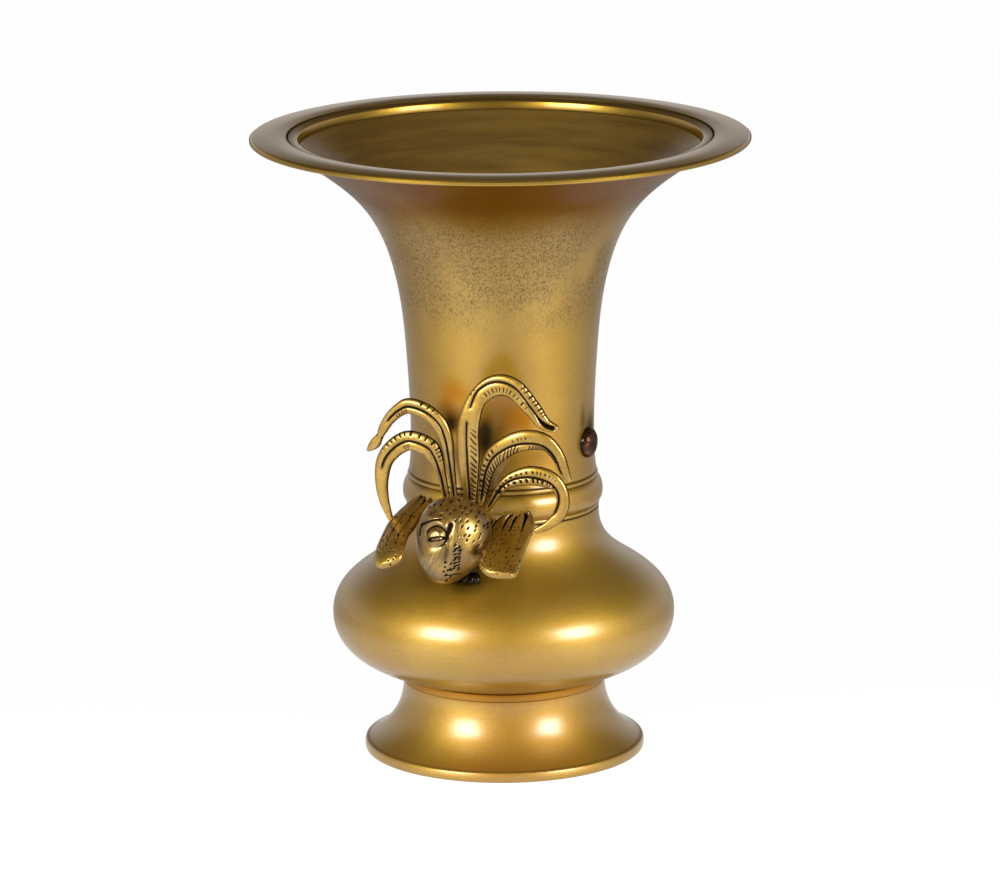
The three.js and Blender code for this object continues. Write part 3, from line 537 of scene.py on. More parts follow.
def round_places(corners):
    """Each corner's angle to the photo's right, its radius and its level."""
    angle = np.arctan2(corners[:, 1], corners[:, 0]) - (CAMERA_TURN - math.pi / 2)
    return angle, np.hypot(corners[:, 0], corners[:, 1]), corners[:, 2]


def inset(path, distance):
    """A path moved sideways, to its left as it is walked."""
    path = np.array(path, float)
    along = np.gradient(path, axis=0)
    along /= np.linalg.norm(along, axis=1)[:, None]
    return [(p[0] - a[1] * distance, p[1] + a[0] * distance) for p, a in zip(path, along)]


def smooth(value, low, high):
    t = np.clip((np.asarray(value, float) - low) / (high - low), 0, 1)
    return t * t * (3 - 2 * t)


def dip(value, at, width):
    """A soft peak of height 1."""
    return np.exp(-(((np.asarray(value, float) - at) / width) ** 2))


# Turned pieces

SEAM_LEVEL = 28.6
SEAM_DEPTH = 0.16
COLLAR_GROOVES = (101.75, 112.0, 114.0)


def foot_outline():
    ring = [(FOOT_RING, 1.9, 0), (FOOT_RING, 0, 0.35), (FOOT_RADIUS - 0.35, 0, 0.55)]
    roll = [(FOOT_RADIUS, 2.15, 1.1), (FOOT_RADIUS - 0.5, 3.9, 0.35), (FOOT_RADIUS - 1.4, 4.3, 0)]
    edge = rounded(ring + roll)
    flare = bezier((54.8, 4.35), (46.2, 8.5), (FOOT_NECK, 17.3), (FOOT_NECK, 28.3), 40)
    depths = ((-0.2, 0), (-0.05, SEAM_DEPTH), (0.05, SEAM_DEPTH), (0.2, 0))
    seam = [(FOOT_NECK - depth, SEAM_LEVEL + rise) for rise, depth in depths]
    lip = [(FOOT_NECK, FOOT_TOP, 0.25), (FOOT_BORE, FOOT_TOP, 0.2)]
    top = rounded([(FOOT_NECK, 30.4, 0), *lip, (FOOT_BORE, 28, 0)])
    within = bezier((FOOT_BORE, 26.6), (FOOT_BORE, 15.6), (43.3, 5.9), (FOOT_RING, 2.3), 24)
    return edge[1:] + flare + seam + top + within


def add_foot(material):
    """A thin seam shows in front, and dirt lies in the joint and above the rolled edge."""
    corners, faces = lathe(foot_outline())
    angle, radius, level = round_places(corners)
    front = smooth(np.cos(angle), 0.72, 0.86)
    seam = 0.6 * dip(level, SEAM_LEVEL, SEAM_DEPTH) * front * (radius > FOOT_NECK - 0.85)
    joint = 0.3 * dip(level, FOOT_TOP, 0.3)
    edge = 0.6 * dip(level, 4.3, 0.25) * (radius > FOOT_RADIUS - 2.3)
    make_piece("foot_turned", "foot", "turned_brass", material, corners, faces, seam + joint + edge)


def belly_path():
    widest, shoulder = (BELLY_RADIUS, BELLY_WIDEST), (53.3, BELLY_SHOULDER)
    lower = bezier((FOOT_NECK, BELLY_BASE), (46.15, 33.9), (BELLY_RADIUS, 38.4), widest, 48)
    upper = bezier(widest, (BELLY_RADIUS, 65.5), (62.37, 71.35), shoulder, 32)
    hollow = bezier(shoulder, (44.45, 82.4), (BELLY_NECK, 87.9), (BELLY_NECK, 97.8), 32)
    return lower + upper[1:] + hollow[1:]


def add_belly(material):
    """A spigot stands in the foot, and the bowl is open above the ring that holds the base disc."""
    outside = belly_path()
    bore = BELLY_NECK - BELLY_WALL
    within = [p for p in inset(outside, BELLY_WALL) if p[0] > bore + 0.2 and 34 < p[1] < 97][::2]
    spigot = [(32.2, 26.9), (37.45, 26.9), (37.45, BELLY_BASE)]
    lip = [(BELLY_NECK, BELLY_TOP, 0.3), (bore, BELLY_TOP, 0.2)]
    top = rounded([(BELLY_NECK, 98.4, 0), *lip, (bore, 97, 0)])
    floor = [(35.25, 33.8), (35.25, 28.5), (32.2, 28.5)]
    corners, faces = lathe(spigot + outside + top + within[::-1] + floor)
    level = corners[:, 2]
    grime_and_shade = 0.3 * dip(level, BELLY_BASE, 0.3) + 0.8 * dip(level, BELLY_TOP, 0.25)
    make_piece("belly_turned", "belly", "turned_brass", material, corners, faces, grime_and_shade)


def add_collar(material):
    low, mid, _ = COLLAR_GROOVES
    bore = BELLY_NECK - BELLY_WALL
    bead = bezier((38.1, COLLAR_BASE), (38.6, 100.3), (38.6, 101.35), (38.15, 101.6), 8)
    band = bezier((38.1, 101.9), (38.55, 102.4), (COLLAR_RADIUS, 102.9), (COLLAR_RADIUS, 106.2), 16)
    back = bezier((COLLAR_RADIUS, 106.2), (COLLAR_RADIUS, 108.9), (38.9, 111.0), (37.9, 111.75), 16)
    ring = bezier((37.45, 112.15), (38.2, 112.35), (38.2, 113.65), (37.5, 113.85), 8)
    outline = [(bore, COLLAR_BASE)] + bead + [(37.95, low)] + band + back[1:] + [(37.25, mid)]
    outline += ring + [(37.35, COLLAR_TOP), (bore, COLLAR_TOP)]
    corners, faces = lathe(outline)
    grime_and_shade = sum(0.6 * dip(corners[:, 2], level, 0.14) for level in COLLAR_GROOVES)
    grime_and_shade += dip(corners[:, 2], COLLAR_BASE, 0.25)
    make_piece("collar_turned", "collar", "turned_brass", material, corners, faces, grime_and_shade, crease=60)


def neck_path():
    base = bezier((37.6, NECK_BASE), (36.85, 116.9), (NECK_RADIUS, 123), (NECK_RADIUS, NECK_WAIST), 16)
    stem = bezier((NECK_RADIUS, NECK_WAIST), (NECK_RADIUS, 143.8), (38.11, 169.3), (39.56, NECK_FLARE), 32)
    trumpet = bezier((39.56, NECK_FLARE), (45.36, 222.6), (60.45, 229), (NECK_LIP, NECK_TOP), 64)
    return base + stem[1:] + trumpet[1:]


# Stains round the plumes, then dark patches of dirt and painted shade round the plumes and the rivet:
# degrees to the photo's right, level, half width in degrees, half height in mm, and strength.
NECK_WARMTH = [
    (-31, 153, 9, 4.5, 0.95),
    (-36, 146, 8, 4.0, 0.7),
    (13, 142, 9, 5.0, 0.9),
    (-1, 146, 11, 9.0, 0.6),
    (-22, 136, 24, 12, 0.4),
    (24, 128, 16, 10, 0.35),
]
# Of the dark patches, the first two, beside the plumes' roots, are painted shade of the plumes; the last is
# dirt round the rivet.
NECK_DIRT_AND_SHADE = [
    (-11, 136, 5, 7.0, 1.4),
    (-34, 139.5, 5, 3.6, 1.3),
    (-40, 126, 3, 10, 0.5),
    (20, 127, 10, 6, 0.3),
    (72, 133, 11, 7.5, 1.0),
]


def neck_patches(stains, angle, level):
    total = np.zeros_like(level)
    for degrees, at_level, wide, tall, strength in stains:
        spread = dip(angle, math.radians(degrees), math.radians(wide))
        total += strength * spread * dip(level, at_level, tall)
    return total


def add_neck(material, inside_material):
    """The outside and the inside are two materials of one piece: the inside is dull and brushed, and painted
    brown partly as tarnish and partly as shade.
    """
    outside = neck_path()
    within = [p for p in inset(outside, WALL) if NECK_BASE + 3 < p[1] < NECK_TOP - 0.1]
    last, before = within[-1], within[-2]
    slope = (last[0] - before[0]) / (last[1] - before[1])
    within.append((last[0] + slope * (NECK_TOP - last[1]), NECK_TOP))
    spigot = [(33.4, 91.7), (35.6, 91.7), (35.6, NECK_BASE)]
    corners, faces = lathe(spigot + outside + within[::-1])
    angle, _, level = round_places(corners)
    streak = dip(angle, math.radians(60), 0.05) * smooth(level, 133, 137) * (1 - smooth(level, 140, 148))
    # A dark patch low on the left of the neck.
    left_dark_patch = dip(angle, math.radians(-72), 0.09) * dip(level, 112, 6)
    grime_and_shade = dip(level, NECK_BASE, 0.3) + 0.55 * streak + 0.5 * left_dark_patch
    # Dark patches: painted shade beside the plumes' roots, and dirt round the rivet.
    grime_and_shade = grime_and_shade + neck_patches(NECK_DIRT_AND_SHADE, angle, level)
    piece = make_piece("neck_turned", "neck", "turned_brass", material, corners, faces, grime_and_shade)
    set_attribute(piece.data, "warmth", neck_patches(NECK_WARMTH, angle, level))
    piece.data.materials.append(inside_material)
    inner_from = (len(spigot) + len(outside)) * TURN_STEPS
    for face in piece.data.polygons:
        if min(face.vertices) >= inner_from:
            face.material_index = 1


def add_rim(material):
    """The top is dished a little towards the mouth, falls gently outwards and turns over in a short bend."""
    bend = (RIM_RADIUS - 1.15, RIM_TOP - 0.4)
    crest = RIM_RADIUS - RIM_ROUND
    inner_level = RIM_TOP - RIM_DISH
    path = [(MOUTH_RADIUS, RIM_BASE, 0.1), (RIM_RADIUS, RIM_BASE, 1.7), (RIM_RADIUS, RIM_TOP, 0)]
    under = rounded(path, 10)[:-1]
    over = bezier((RIM_RADIUS, 247.9), (RIM_RADIUS, 248.5), (RIM_RADIUS - 0.45, 249.4), bend, 12)
    fall = (RIM_RADIUS - 3.2, RIM_TOP - 0.25), (RIM_RADIUS - 6, RIM_TOP)
    over += bezier(bend, *fall, (crest, RIM_TOP), 20)[1:]
    dish = (crest - 1.5, RIM_TOP), (crest - 3, RIM_TOP - 0.1)
    top = bezier((crest, RIM_TOP), *dish, (MOUTH_RADIUS + 0.4, inner_level), 16)[1:]
    path = [(crest, inner_level, 0), (MOUTH_RADIUS, inner_level, 0.35), (MOUTH_RADIUS, RIM_BASE, 0)]
    edge = rounded(path)[1:-1]
    corners, faces = lathe(under + over + top + edge)
    _, radius, _ = round_places(corners)
    grime_and_shade = dip(radius, MOUTH_RADIUS, 0.4)
    make_piece("rim_turned", "rim_flange", "turned_brass", material, corners, faces, grime_and_shade)


def add_mouth_ring(material):
    """The ring lies lower than the flange and slopes to a steep inner bevel."""
    outer = MOUTH_RADIUS - 0.3
    under = [(BEVEL_RADIUS, 245.5, 0.25), (BEVEL_RADIUS + 0.7, 245.5, 0.1), (81.1, 246.8, 0.1)]
    base = [(81.1, RIM_BASE, 0.1), (outer, RIM_BASE, 0.1)]
    top = [(outer, 249.3, 0.3), (BEVEL_RADIUS + 0.95, 248.6, 0.35)]
    corners, faces = lathe(rounded(under + base + top))
    _, radius, level = round_places(corners)
    grime_and_shade = dip(radius, outer, 0.35) + dip(radius, BEVEL_RADIUS, 0.2) * (level < 246)
    make_piece("mouth_ring_turned", "mouth_ring", "turned_brass", material, corners, faces, grime_and_shade)


# Bird. A place on it is across (+X), up from the top of the collar, and out from the collar's band.

# How dark the backs of the wings and plumes are painted, as shade where they face the neck; the photo
# doesn't show them
BACK_SHADE = 0.22
# How far apart rows of punch marks lie, against the marks in a row
ROW_SPACING = 0.87


def place(rows):
    rows = np.asarray(rows, float)
    return np.stack([rows[..., 0], -(COLLAR_RADIUS + rows[..., 2]), COLLAR_TOP + rows[..., 1]], axis=-1)


def unit(vectors):
    vectors = np.asarray(vectors, float)
    return vectors / np.linalg.norm(vectors, axis=-1, keepdims=True)


def spline(rows, share):
    """A smooth curve through the rows, read at shares from 0 to 1, with all their columns."""
    rows = np.asarray(rows, float)
    padded = np.vstack([2 * rows[0] - rows[1], rows, 2 * rows[-1] - rows[-2]])
    at = np.clip(np.asarray(share, float), 0, 1) * (len(rows) - 1)
    k = np.minimum(at.astype(int), len(rows) - 2)
    t = (at - k)[..., None]
    a, b, c, d = (padded[k + i] for i in range(4))
    return 0.5 * (2 * b + (c - a) * t + (2 * a - 5 * b + 4 * c - d) * t**2 + (3 * b - a - 3 * c + d) * t**3)


def closed_loft(rings):
    """Rings of corners, an array (rings, around, 3), with a hub at each end."""
    count, around, _ = rings.shape
    corners = np.vstack([rings.reshape(-1, 3), rings[0].mean(0), rings[-1].mean(0)])
    faces = ring_faces(count, around)
    first, last = count * around, count * around + 1
    for j in range(around):
        k = (j + 1) % around
        faces.append((first, k, j))
        faces.append((last, (count - 1) * around + j, (count - 1) * around + k))
    return corners, faces


def joined(lofts):
    """Corners and faces of several closed lofts as one mesh."""
    corners, faces, count = [], [], 0
    for part, part_faces in lofts:
        faces += [tuple(i + count for i in face) for face in part_faces]
        corners.append(part)
        count += len(part)
    return np.vstack(corners), faces


def rings_about(middle, *shifts):
    """Rings of corners about a line; a shift is a direction at each ring and a distance at each corner."""
    rings = middle[:, None, :]
    for direction, distance in shifts:
        rings = rings + direction[:, None, :] * distance[..., None]
    return rings


def round_end(share):
    """Relative width of a round end, at a share of the way from its tip to its full width."""
    return np.sqrt(np.clip(1 - (1 - np.minimum(share, 1)) ** 2, 0, 1))


def punch_marks(across, along, centres, length, width, slant=0.0):
    """How deep punched strokes are at each place, from 0 to 1; centres are (across, along)."""
    depth = np.zeros(np.shape(across))
    turn_cos, turn_sin = math.cos(slant), math.sin(slant)
    for x, y in centres:
        dx, dy = across - x, along - y
        side = dx * turn_cos - dy * turn_sin
        line = dx * turn_sin + dy * turn_cos
        depth = np.maximum(depth, np.exp(-((side / width) ** 2) - (line / length) ** 4))
    return depth


def scattered(rng, low, high, spacing, jitter=0.32):
    """Jittered rows of places in a rectangle."""
    places = []
    rows = int((high[1] - low[1]) / (spacing * ROW_SPACING))
    columns = int((high[0] - low[0]) / spacing)
    for i in range(rows + 1):
        for j in range(columns + 1):
            x = low[0] + (j + 0.5 * (i % 2)) * spacing
            y = low[1] + i * spacing * ROW_SPACING
            x += rng.uniform(-jitter, jitter) * spacing
            y += rng.uniform(-jitter, jitter) * spacing
            places.append((x, y))
    return places


# Head

HEAD_HALF_WIDTH = 14.4
HEAD_HALF_LENGTH = 17.5
HEAD_TURN = math.radians(17)
HEAD_NOD = math.radians(13.4)
HEAD_TILT = math.radians(20)
HEAD_MIDDLE = (-3.7, -15.9, 17.0)
HEAD_ROUND = 340
HEAD_RISE = 240
LID = (-6.3, -0.2)
EYE = (-5.5, -1.0)
EYE_SLOPE = 0.5
# Broad forms of the face: across, up, half width, half height, and how far each stands out
FACE_FORMS = [
    (-5.6, -8.8, 4.4, 5.6, 1.3),
    (4.0, -6.0, 2.6, 7.0, 0.6),
    (-6.4, 0.2, 5.0, 4.6, -1.0),
    (-8.6, 5.8, 5.0, 1.8, 0.9),
    (7.4, -1.2, 2.6, 3.4, 0.5),
    (10.2, 0.2, 1.4, 2.4, -0.5),
]
# Grooves of the face: route (across, up), half width, depth and darkness; the darkness of the first two, the
# socket beside the eye, is painted shade
FACE_GROOVES = [
    ([(-2.5, 6.0), (-2.3, 2.6), (-1.2, -2.4), (0.2, -8.0)], 1.25, 0.65, 0.25),
    ([(-2.5, 6.2), (-2.4, 2.8)], 0.85, 0.6, 0.5),
    ([(-13.4, 2.0), (-11.2, 4.0), (-9.2, 5.2), (-6.6, 6.8)], 0.3, 0.4, 0.85),
    ([(-10.0, -3.0), (-7.0, -4.8), (-3.4, -4.0)], 0.3, 0.12, 0.12),
    ([(2.0, -13.4), (3.6, -12.7), (5.6, -11.6), (7.6, -10.8)], 0.24, 0.22, 0.45),
    ([(-12.6, -2.2), (-13.2, 0.6), (-12.8, 3.0)], 0.3, 0.25, 0.4),
]


def head_axes():
    """The head's side, up and front directions: it looks a little towards +X and up, and is tilted."""
    ahead = np.array([math.sin(HEAD_TURN), -math.cos(HEAD_TURN), 0.0])
    front = ahead * math.cos(HEAD_NOD) + np.array([0, 0, math.sin(HEAD_NOD)])
    level = np.array([math.cos(HEAD_TURN), math.sin(HEAD_TURN), 0.0])
    rise = np.cross(front, level)
    side = level * math.cos(HEAD_TILT) - rise * math.sin(HEAD_TILT)
    up = level * math.sin(HEAD_TILT) + rise * math.cos(HEAD_TILT)
    return side, up, front


def lump(side, up, at_side, at_up, wide, tall, height):
    return height * np.exp(-(((side - at_side) / wide) ** 2) - ((up - at_up) / tall) ** 2)


def groove_along(side, up, route, width):
    """How near each place is to a route of points, from 0 to 1."""
    fine = spline(np.array(route, float), np.linspace(0, 1, 40))
    near = np.full(np.shape(side), 1e9)
    for x, y in fine:
        near = np.minimum(near, (side - x) ** 2 + (up - y) ** 2)
    return np.exp(-near / width**2)


def head_relief(side, up, rng):
    """Height of the face above the plain egg, and how dark it is."""
    height = sum(lump(side, up, *form) for form in FACE_FORMS)
    dark = 0.24 + 0.18 * smooth(np.hypot(side / 14, up / 17), 0.7, 1.0)
    for route, width, depth, darkness in FACE_GROOVES:
        near = groove_along(side, up, route, width)
        height -= depth * near
        dark += darkness * near
    lid = np.hypot(side - LID[0], up - LID[1]) / 4.15
    height += 1.9 * (1 - smooth(lid, 0.35, 1.0))
    ring = dip(lid, 1.0, 0.065) * smooth(up + 0.4 * side, -6.0, -3.5)
    height += -0.5 * ring + 0.45 * dip(lid, 1.28, 0.15) * smooth(up, LID[1] - 1, LID[1] + 2)
    from_eye, above_eye = side - EYE[0], up - EYE[1] - EYE_SLOPE * (side - EYE[0])
    slit = np.hypot(from_eye / 2.9, above_eye / 0.95)
    hollow = 1 - smooth(slit, 0.8, 1.1)
    ball = 1 - smooth(slit, 0.2, 0.6)
    height += -0.75 * hollow + 0.5 * ball
    marks = []
    for x, y in scattered(rng, (-13, -15), (14, 17), 2.8):
        on_beak = x < 0.8 - 0.1 * y and y < 7.0
        on_eye = math.hypot(x - LID[0], y - LID[1]) < 7.0
        on_cheek = x > 5.6 + 0.15 * (y + 6) and y < 0.5
        if not on_beak and not on_eye and not on_cheek:
            marks.append((x, y))
    strokes = punch_marks(side, up, marks, 0.66, 0.21, slant=math.radians(14))
    crow_feet = []
    for i in range(9):
        x, y = 2.0 + 0.32 * i, -1.0 - 1.05 * i
        crow_feet += [(x + 0.25 * math.sin(2.1 * i), y), (x + 1.7, y - 0.2 + 0.2 * math.sin(1.7 * i))]
    feet = punch_marks(side, up, crow_feet, 0.7, 0.24, slant=math.radians(42))
    by_mouth = [(0.6, -8.6), (1.0, -10.2), (2.4, -11.0), (1.2, -12.0), (3.6, -10.4)]
    dots = punch_marks(side, up, by_mouth, 0.45, 0.3)
    punched = np.maximum(np.maximum(strokes, feet), dots)
    height += -0.45 * punched
    brushed = 0.5 + 0.5 * np.sin(4.4 * side + 1.3 * np.sin(0.7 * up + 2.0 * side))
    dark += punched + 0.8 * ring + dip(slit, 0.9, 0.2) + 0.1 * ball
    # Painted shade in the hollow at the right of the face.
    dark += lump(side, up, 10.4, 0.0, 1.3, 2.4, 0.35)
    dark += 0.3 * brushed * lump(side, up, -4.6, -8.6, 3.0, 4.4, 1.0)
    return np.array([height, dark])


def add_head(material):
    rng = np.random.default_rng(HEAD_SEED)
    rise, turn = grid(np.linspace(0, math.pi, HEAD_RISE + 2)[1:-1], HEAD_ROUND)
    tall = np.cos(rise)
    wide = HEAD_HALF_WIDTH * (1 + 0.2 * tall)
    side = np.sin(rise) * np.cos(turn) * wide
    front = np.sin(rise) * np.sin(turn) * wide
    up = tall * HEAD_HALF_LENGTH
    height, dark = head_relief(side, up, rng) * smooth(np.sin(turn) * np.sin(rise), 0.05, 0.4)
    outwards = unit(np.stack([side / wide**2, up / HEAD_HALF_LENGTH**2, front / wide**2], axis=-1))
    local = np.stack([side, up, front], axis=-1) + outwards * height[..., None]
    loft = closed_loft(place(HEAD_MIDDLE) + local @ np.array(head_axes()))
    # The back of the head, where it meets the neck and the wings, is painted dark as shade.
    behind = 0.8 * smooth(-front, 2, 9)
    grime_and_shade = np.append(np.maximum(dark, behind).ravel(), [0.3, 0.3])
    make_piece("bird_head_cast", "bird_head", "cast_brass", material, *loft, grime_and_shade, crease=180)


# Wings: each station runs from the inner edge to the outer edge, from the front lobe to the feather tips.

RIGHT_WING = [
    ((16.4, -26.0, 31.0), (25.0, -25.9, 30.0)),
    ((12.5, -23.6, 30.0), (26.2, -25.0, 26.5)),
    ((10.2, -21.3, 26.5), (25.7, -23.2, 21.0)),
    ((9.3, -18.9, 21.0), (25.3, -19.5, 14.0)),
    ((8.2, -16.7, 14.0), (25.3, -16.4, 8.0)),
    ((7.6, -13.8, 8.0), (25.4, -14.1, 3.5)),
    ((8.4, -11.4, 3.5), (25.2, -11.7, 0.0)),
    ((11.2, -9.4, 1.0), (23.9, -9.9, -3.0)),
    ((13.8, -8.2, 0.0), (21.6, -7.5, -4.0)),
]
LEFT_WING = [
    ((-23.8, -24.4, 31.0), (-29.8, -26.0, 30.0)),
    ((-20.2, -21.3, 30.0), (-32.4, -23.4, 26.5)),
    ((-20.0, -17.9, 26.5), (-33.3, -21.0, 21.0)),
    ((-20.3, -14.9, 21.0), (-33.3, -17.7, 14.0)),
    ((-19.6, -12.5, 14.0), (-32.5, -13.5, 8.0)),
    ((-19.0, -9.5, 8.0), (-30.9, -11.2, 3.0)),
    ((-17.7, -7.4, 3.0), (-28.7, -8.9, -1.0)),
    ((-17.0, -5.8, 0.0), (-26.2, -6.9, -3.5)),
    ((-17.7, -4.9, -1.5), (-22.7, -4.7, -5.0)),
]
WING_FRONT = 2.8
WING_BACK = 0.9
RIGHT_GAPS = (0.12, 0.36, 0.53, 0.77)
LEFT_GAPS = (0.22, 0.5, 0.8)
GAP_WIDTH = 0.3
GAP_SPREAD = 0.5
LEFT_STAY = [(-3.7, 17.0, -15.9), (-13.0, 18.5, -15.6), (-22.3, 20.0, -15.3)]
STAY_RADIUS = 1.9
WING_LONG = 200
WING_ROUND = 180
LOBE_SHARE = 0.05
TIP_SHARE = 0.045


def add_wing(node, stations, material, gaps, groove_from, seed, stay=None):
    """Gaps are the shares of the wing's width where its feathers part; a stay runs from it to the head."""
    share = np.linspace(0, 1, WING_LONG)
    inner = place(spline([s[0] for s in stations], share))
    outer = place(spline([s[1] for s in stations], share))
    middle = (inner + outer) / 2
    along = unit(np.gradient(middle, axis=0))
    across = outer - inner
    width = np.linalg.norm(across, axis=1)
    across = unit(across)
    front = unit(np.cross(along, across))
    front[front[:, 1] > 0] *= -1
    t, phi = grid(share, WING_ROUND)
    f = (1 - np.cos(phi)) / 2
    lift = np.abs(np.sin(phi)) ** 0.8
    facing = np.sin(phi) > 0
    lobe_end = round_end(t / LOBE_SHARE)
    tip_end = round_end((1 - t) / TIP_SHARE)
    to_gap = np.min([np.abs(f - gap) for gap in gaps], axis=0) * width[:, None]
    opening = GAP_WIDTH + GAP_SPREAD * smooth(t, 0.6, 0.97)
    between = np.exp(-((to_gap / opening) ** 4))
    ridged = smooth(t, groove_from, groove_from + 0.2)
    thick = np.where(facing, WING_FRONT, -WING_BACK) * lift * (0.15 + 0.85 * lobe_end * tip_end)
    cut = between * ridged * np.where(facing, 0.6 + 0.35 * smooth(t, 0.6, 0.9), 0.5)
    thick *= 1 - cut
    rng = np.random.default_rng(seed)
    length = np.linalg.norm(np.diff(middle, axis=0), axis=1).sum()
    x_mm, y_mm = (f - 0.5) * width[:, None], t * length
    marks = [p for p in scattered(rng, (-7.5, 1.5), (7.5, 0.68 * length), 2.2) if rng.random() < 0.7]
    punched = punch_marks(x_mm, y_mm, marks, 0.55, 0.24, slant=0.1) * facing * (lift > 0.3)
    thick -= 0.36 * punched
    narrow = 0.25 + 0.75 * lobe_end
    push = smooth(t, 0.84, 1.0) * (0.7 * tip_end - 3.0 * between)
    lofts = [closed_loft(rings_about(middle, (across, x_mm * narrow), (front, thick), (along, push)))]
    # The feather tips, which bend towards the collar, are painted darker as shade.
    grime_and_shade = 0.95 * punched + 1.1 * between * ridged * facing + 0.3 * smooth(t, 0.8, 1.0)
    grime_and_shade = np.append(np.where(facing, grime_and_shade, BACK_SHADE).ravel(), [0.2, 0.8])
    if stay:
        lofts.append(closed_loft(limb(stay, [STAY_RADIUS] * len(stay))))
        grime_and_shade = np.append(grime_and_shade, np.full(len(lofts[1][0]), 0.05))
    make_piece(node + "_cast", node, "cast_brass", material, *joined(lofts), grime_and_shade, crease=180)


# Tail plumes: each row is across, up, out from the roots of the fan, and half the width there.

PLUME_ROOTS = 5.1
PLUME_THICKNESS = 4.6
PLUME_ROUND = 72
PLUME_RING_GAP = 0.24
PLUMES = {
    "plume_centre": [
        (0.0, -6.5, -1.0, 2.0), (0.5, 1.6, 0.0, 2.9), (0.9, 15.1, 3.2, 4.4), (1.5, 29.2, 4.9, 4.4),
        (5.1, 39.8, 4.9, 3.7), (11.9, 45.5, 4.6, 4.2), (19.4, 44.9, 4.1, 4.2), (26.4, 37.7, 3.2, 3.6),
        (31.4, 31.4, 2.5, 2.8), (37.1, 28.9, 1.6, 1.2),
    ],
    "plume_upper_left": [
        (-5.8, -5.9, -1.0, 1.2), (-6.6, 4.0, 0.0, 1.4), (-7.2, 14.1, 2.0, 1.9), (-8.0, 22.5, 3.6, 2.7),
        (-10.4, 28.9, 4.4, 3.05), (-15.4, 33.4, 4.6, 3.1), (-22.7, 35.3, 4.0, 3.15),
        (-27.2, 33.4, 3.4, 2.7), (-31.5, 29.4, 2.8, 2.3), (-34.4, 24.9, 2.3, 1.9),
        (-35.8, 22.1, 1.9, 1.5), (-37.9, 19.0, 1.3, 2.1), (-39.9, 17.0, 0.8, 1.5),
        (-41.5, 15.4, 0.3, 0.5),
    ],
    "plume_lower_left": [
        (-8.7, -6.1, -1.0, 1.2), (-10.1, 1.3, -0.2, 1.6), (-10.8, 6.3, 0.6, 1.8), (-12.0, 12.1, 1.8, 2.5),
        (-13.4, 15.8, 2.6, 3.4), (-15.8, 19.2, 3.2, 3.9), (-22.3, 21.3, 3.3, 3.95),
        (-26.8, 19.9, 3.0, 3.9), (-31.1, 16.4, 2.4, 3.7), (-34.0, 12.3, 1.6, 3.4),
        (-35.4, 7.5, 0.9, 3.05), (-35.8, 1.5, 0.4, 2.5), (-35.0, -4.3, 0.2, 2.0), (-33.7, -8.2, 0.3, 1.5),
        (-32.1, -12.2, 0.5, 1.0),
    ],
    "plume_upper_right": [
        (4.2, -4.4, -1.0, 1.4), (5.9, 3.2, -0.2, 2.0), (7.6, 10.6, 0.9, 2.8), (11.4, 17.1, 2.2, 3.8),
        (17.8, 22.0, 3.2, 4.0), (23.8, 24.2, 3.0, 4.1), (29.8, 24.1, 2.0, 3.7), (33.8, 21.7, 1.0, 3.0),
        (36.7, 17.3, 0.0, 2.6), (38.3, 12.2, -1.2, 2.2), (39.6, 8.9, -2.2, 1.4), (40.8, 7.6, -2.8, 0.6),
    ],
    "plume_lower_right": [
        (6.4, -6.4, -1.2, 1.1), (9.5, -1.6, -0.6, 1.4), (13.3, 4.0, -0.1, 2.0), (17.9, 7.4, 0.0, 2.95),
        (24.2, 9.2, -0.2, 3.8), (29.4, 9.0, -0.6, 3.9), (33.6, 7.7, -1.0, 3.4), (36.4, 4.9, -1.4, 2.85),
        (37.7, 1.2, -1.7, 2.65), (37.4, -2.9, -1.9, 2.65), (35.4, -7.0, -2.0, 2.4),
        (31.8, -10.4, -1.7, 1.8), (28.4, -12.3, -1.2, 1.4), (26.3, -13.2, -0.8, 1.1),
    ],
}

# Each plume's outer side, 1 where it bends to the left, and the share of its length where its middle
# groove ends
PLUME_TRAITS = {
    "plume_centre": (-1, 0.98),
    "plume_upper_left": (1, 0.66),
    "plume_lower_left": (1, 0.72),
    "plume_upper_right": (-1, 0.87),
    "plume_lower_right": (-1, 0.8),
}
# Where a groove leaves its plume's middle: share of the length, and share of half the width (1 is the
# outer edge)
GROOVE_COURSE = {
    "plume_centre": [
        (0, 0), (0.32, 0.08), (0.42, 0.26), (0.48, 0.5), (0.56, 0.4), (0.7, 0.18), (0.78, 0.03), (1, 0)
    ],
    "plume_upper_right": [
        (0, 0), (0.24, 0), (0.4, -0.2), (0.56, -0.4), (0.72, -0.45), (0.87, -0.6), (1, -0.6)
    ],
    "plume_lower_right": [
        (0, 0), (0.25, 0), (0.4, -0.2), (0.5, -0.35), (0.6, -0.5), (0.8, -0.8), (1, -0.8)
    ],
}
LINE_WIDTH = 0.32
